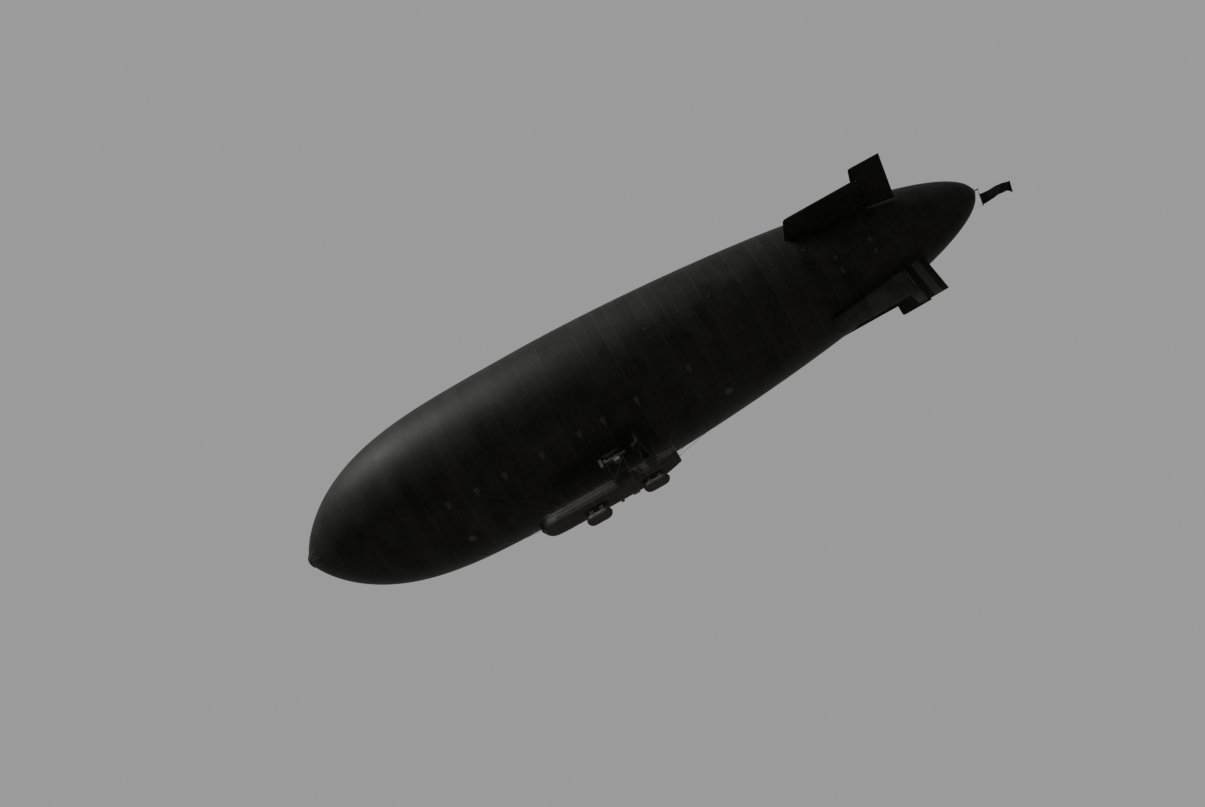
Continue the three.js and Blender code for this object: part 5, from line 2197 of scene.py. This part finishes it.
def build_bag(end, aft, z, half, radius):
    centre = Vector((at(aft), 0, z))
    rows = bag_rows(half, radius)
    build_bag_canvas(end, centre, rows)
    build_bag_tapes(end, centre, half, rows)
    build_bag_straps(end, centre, radius)
    valve = Piece()
    valve.lathe([(0, 0.022), (0.006, 0.022), (0.008, 0.012), (0.026, 0.012), (0.030, 0.007)],
                centre + AFT * half * LENGTH_SHARE, AFT, 16)
    valve.done(end + "_bag_valve", brass)


print("straps lie %.2f m to each side of the middle" % STRAP_AT)

# %% Racks and bags
for rack in ("fore_bag_rack", "aft_bag_rack"):
    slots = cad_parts[rack].data.materials
    slots.clear()
    slots.append(ash_dark)
    print(rack, "is weathered ash")
for row in BAGS:
    build_bag(*row)

# %% [markdown]
# ## Cushions
#
# Each bench has a seat and a back cushion of hide, stuffed with horsehair, buttoned
# through in three places and piped along its edges. A cushion starts as a bevelled box
# and is remeshed into even small faces, which cloth needs. The edges and the buttons
# are held while the rest swells. All three benches share the two forms.

# %% Cushion form
SEAT_SIZE = (0.19, 0.44, 0.052)
BACK_SIZE = (0.034, 0.44, 0.19)
BUTTONS = [Vector((0, y, 0)) for y in (-0.14, 0, 0.14)]
BUTTON_PIT = 0.62


def even_box(name, size):
    """A bevelled box, remeshed into faces of about 6 mm."""
    shape = bmesh.new()
    bmesh.ops.create_cube(shape, size=1)
    for vertex in shape.verts:
        vertex.co = Vector([c * s for c, s in zip(vertex.co, size)])
    bmesh.ops.bevel(shape, geom=list(shape.edges), offset=0.014, segments=3, affect="EDGES",
                    profile=0.5)
    mesh = bpy.data.meshes.new(name)
    shape.to_mesh(mesh)
    shape.free()
    piece = bpy.data.objects.new(name, mesh)
    scene.collection.objects.link(piece)
    remesh = piece.modifiers.new("even", "REMESH")
    remesh.mode = "VOXEL"
    remesh.voxel_size = 0.0062
    shown = piece.evaluated_get(bpy.context.evaluated_depsgraph_get())
    even = bpy.data.meshes.new_from_object(shown)
    piece.modifiers.clear()
    piece.data = even
    return piece


print("buttons on each face:", len(BUTTONS))

# %% Stuffed cushion


def cushion(name, size, flat_axis):
    """One stuffed cushion about the origin, buttoned on its two broad faces."""
    piece = even_box(name, size)
    held = []
    for vertex in piece.data.vertices:
        place = vertex.co.copy()
        place[flat_axis] = 0
        button = min((place - spot).length for spot in BUTTONS)
        broad = [abs(place[k]) / (size[k] / 2) for k in range(3) if k != flat_axis]
        rim = max(broad) > 0.9 and abs(vertex.co[flat_axis]) > size[flat_axis] / 2 - 0.008
        if button < 0.009:
            vertex.co[flat_axis] *= BUTTON_PIT
            held.append(vertex.index)
        elif button < 0.03:
            vertex.co[flat_axis] *= BUTTON_PIT + (1 - BUTTON_PIT) * (button - 0.009) / 0.021
        if rim:
            held.append(vertex.index)
    settle(piece, held, 5.0, 0.010)
    made = piece.data
    made.materials.append(leather)
    made.shade_smooth()
    bpy.data.objects.remove(piece)
    return made


print("a button pulls the cloth in by %.0f mm" % (500 * SEAT_SIZE[2] * (1 - BUTTON_PIT)))

# %% Piping
# Calf hide, dyed dark and rolled over a cord. The eye sees a fine dark edge line. Its
# grain of 0.5 mm is drawn 3 mm wide.
leather_dark = finish("dyed_calf", "#1e130d", "#38261a", 0.45, 50, relief="cells", depth=0.3,
                      spacing=3)
PIPING_CORNER = 0.016


def piping(size, flat_axis):
    """The rounded outline of a cushion's broad faces, as two loops."""
    wide = [k for k in range(3) if k != flat_axis]
    loops = []
    for level in (-1, 1):
        loop = []
        for pair in round_rectangle(*[size[k] / 2 - 0.004 for k in wide], PIPING_CORNER, 18):
            p = Vector((0, 0, 0))
            p[wide[0]], p[wide[1]] = pair
            p[flat_axis] = level * (size[flat_axis] / 2 - 0.006)
            loop.append(p)
        loops.append(loop)
    return loops


print("points round a cushion:", len(piping(SEAT_SIZE, 2)[0]))

# %% Cushions


def build_cushions():
    forms = [("seat", cushion("seat_form", SEAT_SIZE, 2), SEAT_SIZE, 2, UP),
             ("back", cushion("back_form", BACK_SIZE, 0), BACK_SIZE, 0, Vector((-1, 0, 0)))]
    top = FLOOR_TOP + 0.215
    for name, aft in BENCHES:
        back = at(aft) + 0.01
        places = {"seat": Vector((back - 0.098, 0, top - 0.044 + SEAT_SIZE[2] / 2)),
                  "back": Vector((back + 0.004 - BACK_SIZE[0] / 2, 0, top + 0.115))}
        welts = Piece()
        for part, form, size, axis, out in forms:
            place = places[part]
            copy = form.copy()
            copy.transform(Matrix.Translation(place))
            pad = bpy.data.objects.new("%s_%s" % (name, part), copy)
            scene.collection.objects.link(pad)
            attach(pad, "body")
            for loop in piping(size, axis):
                welts.tube([p + place for p in loop], 0.0035, 8, loop=True)
            for spot in BUTTONS:
                welts.lathe([(-0.004, 0.007), (0.002, 0.008), (0.005, 0.006), (0.006, 0.002)],
                            spot + place + out * size[axis] / 2 * BUTTON_PIT, out, 12)
        welts.done(name + "_piping", leather_dark)


build_cushions()
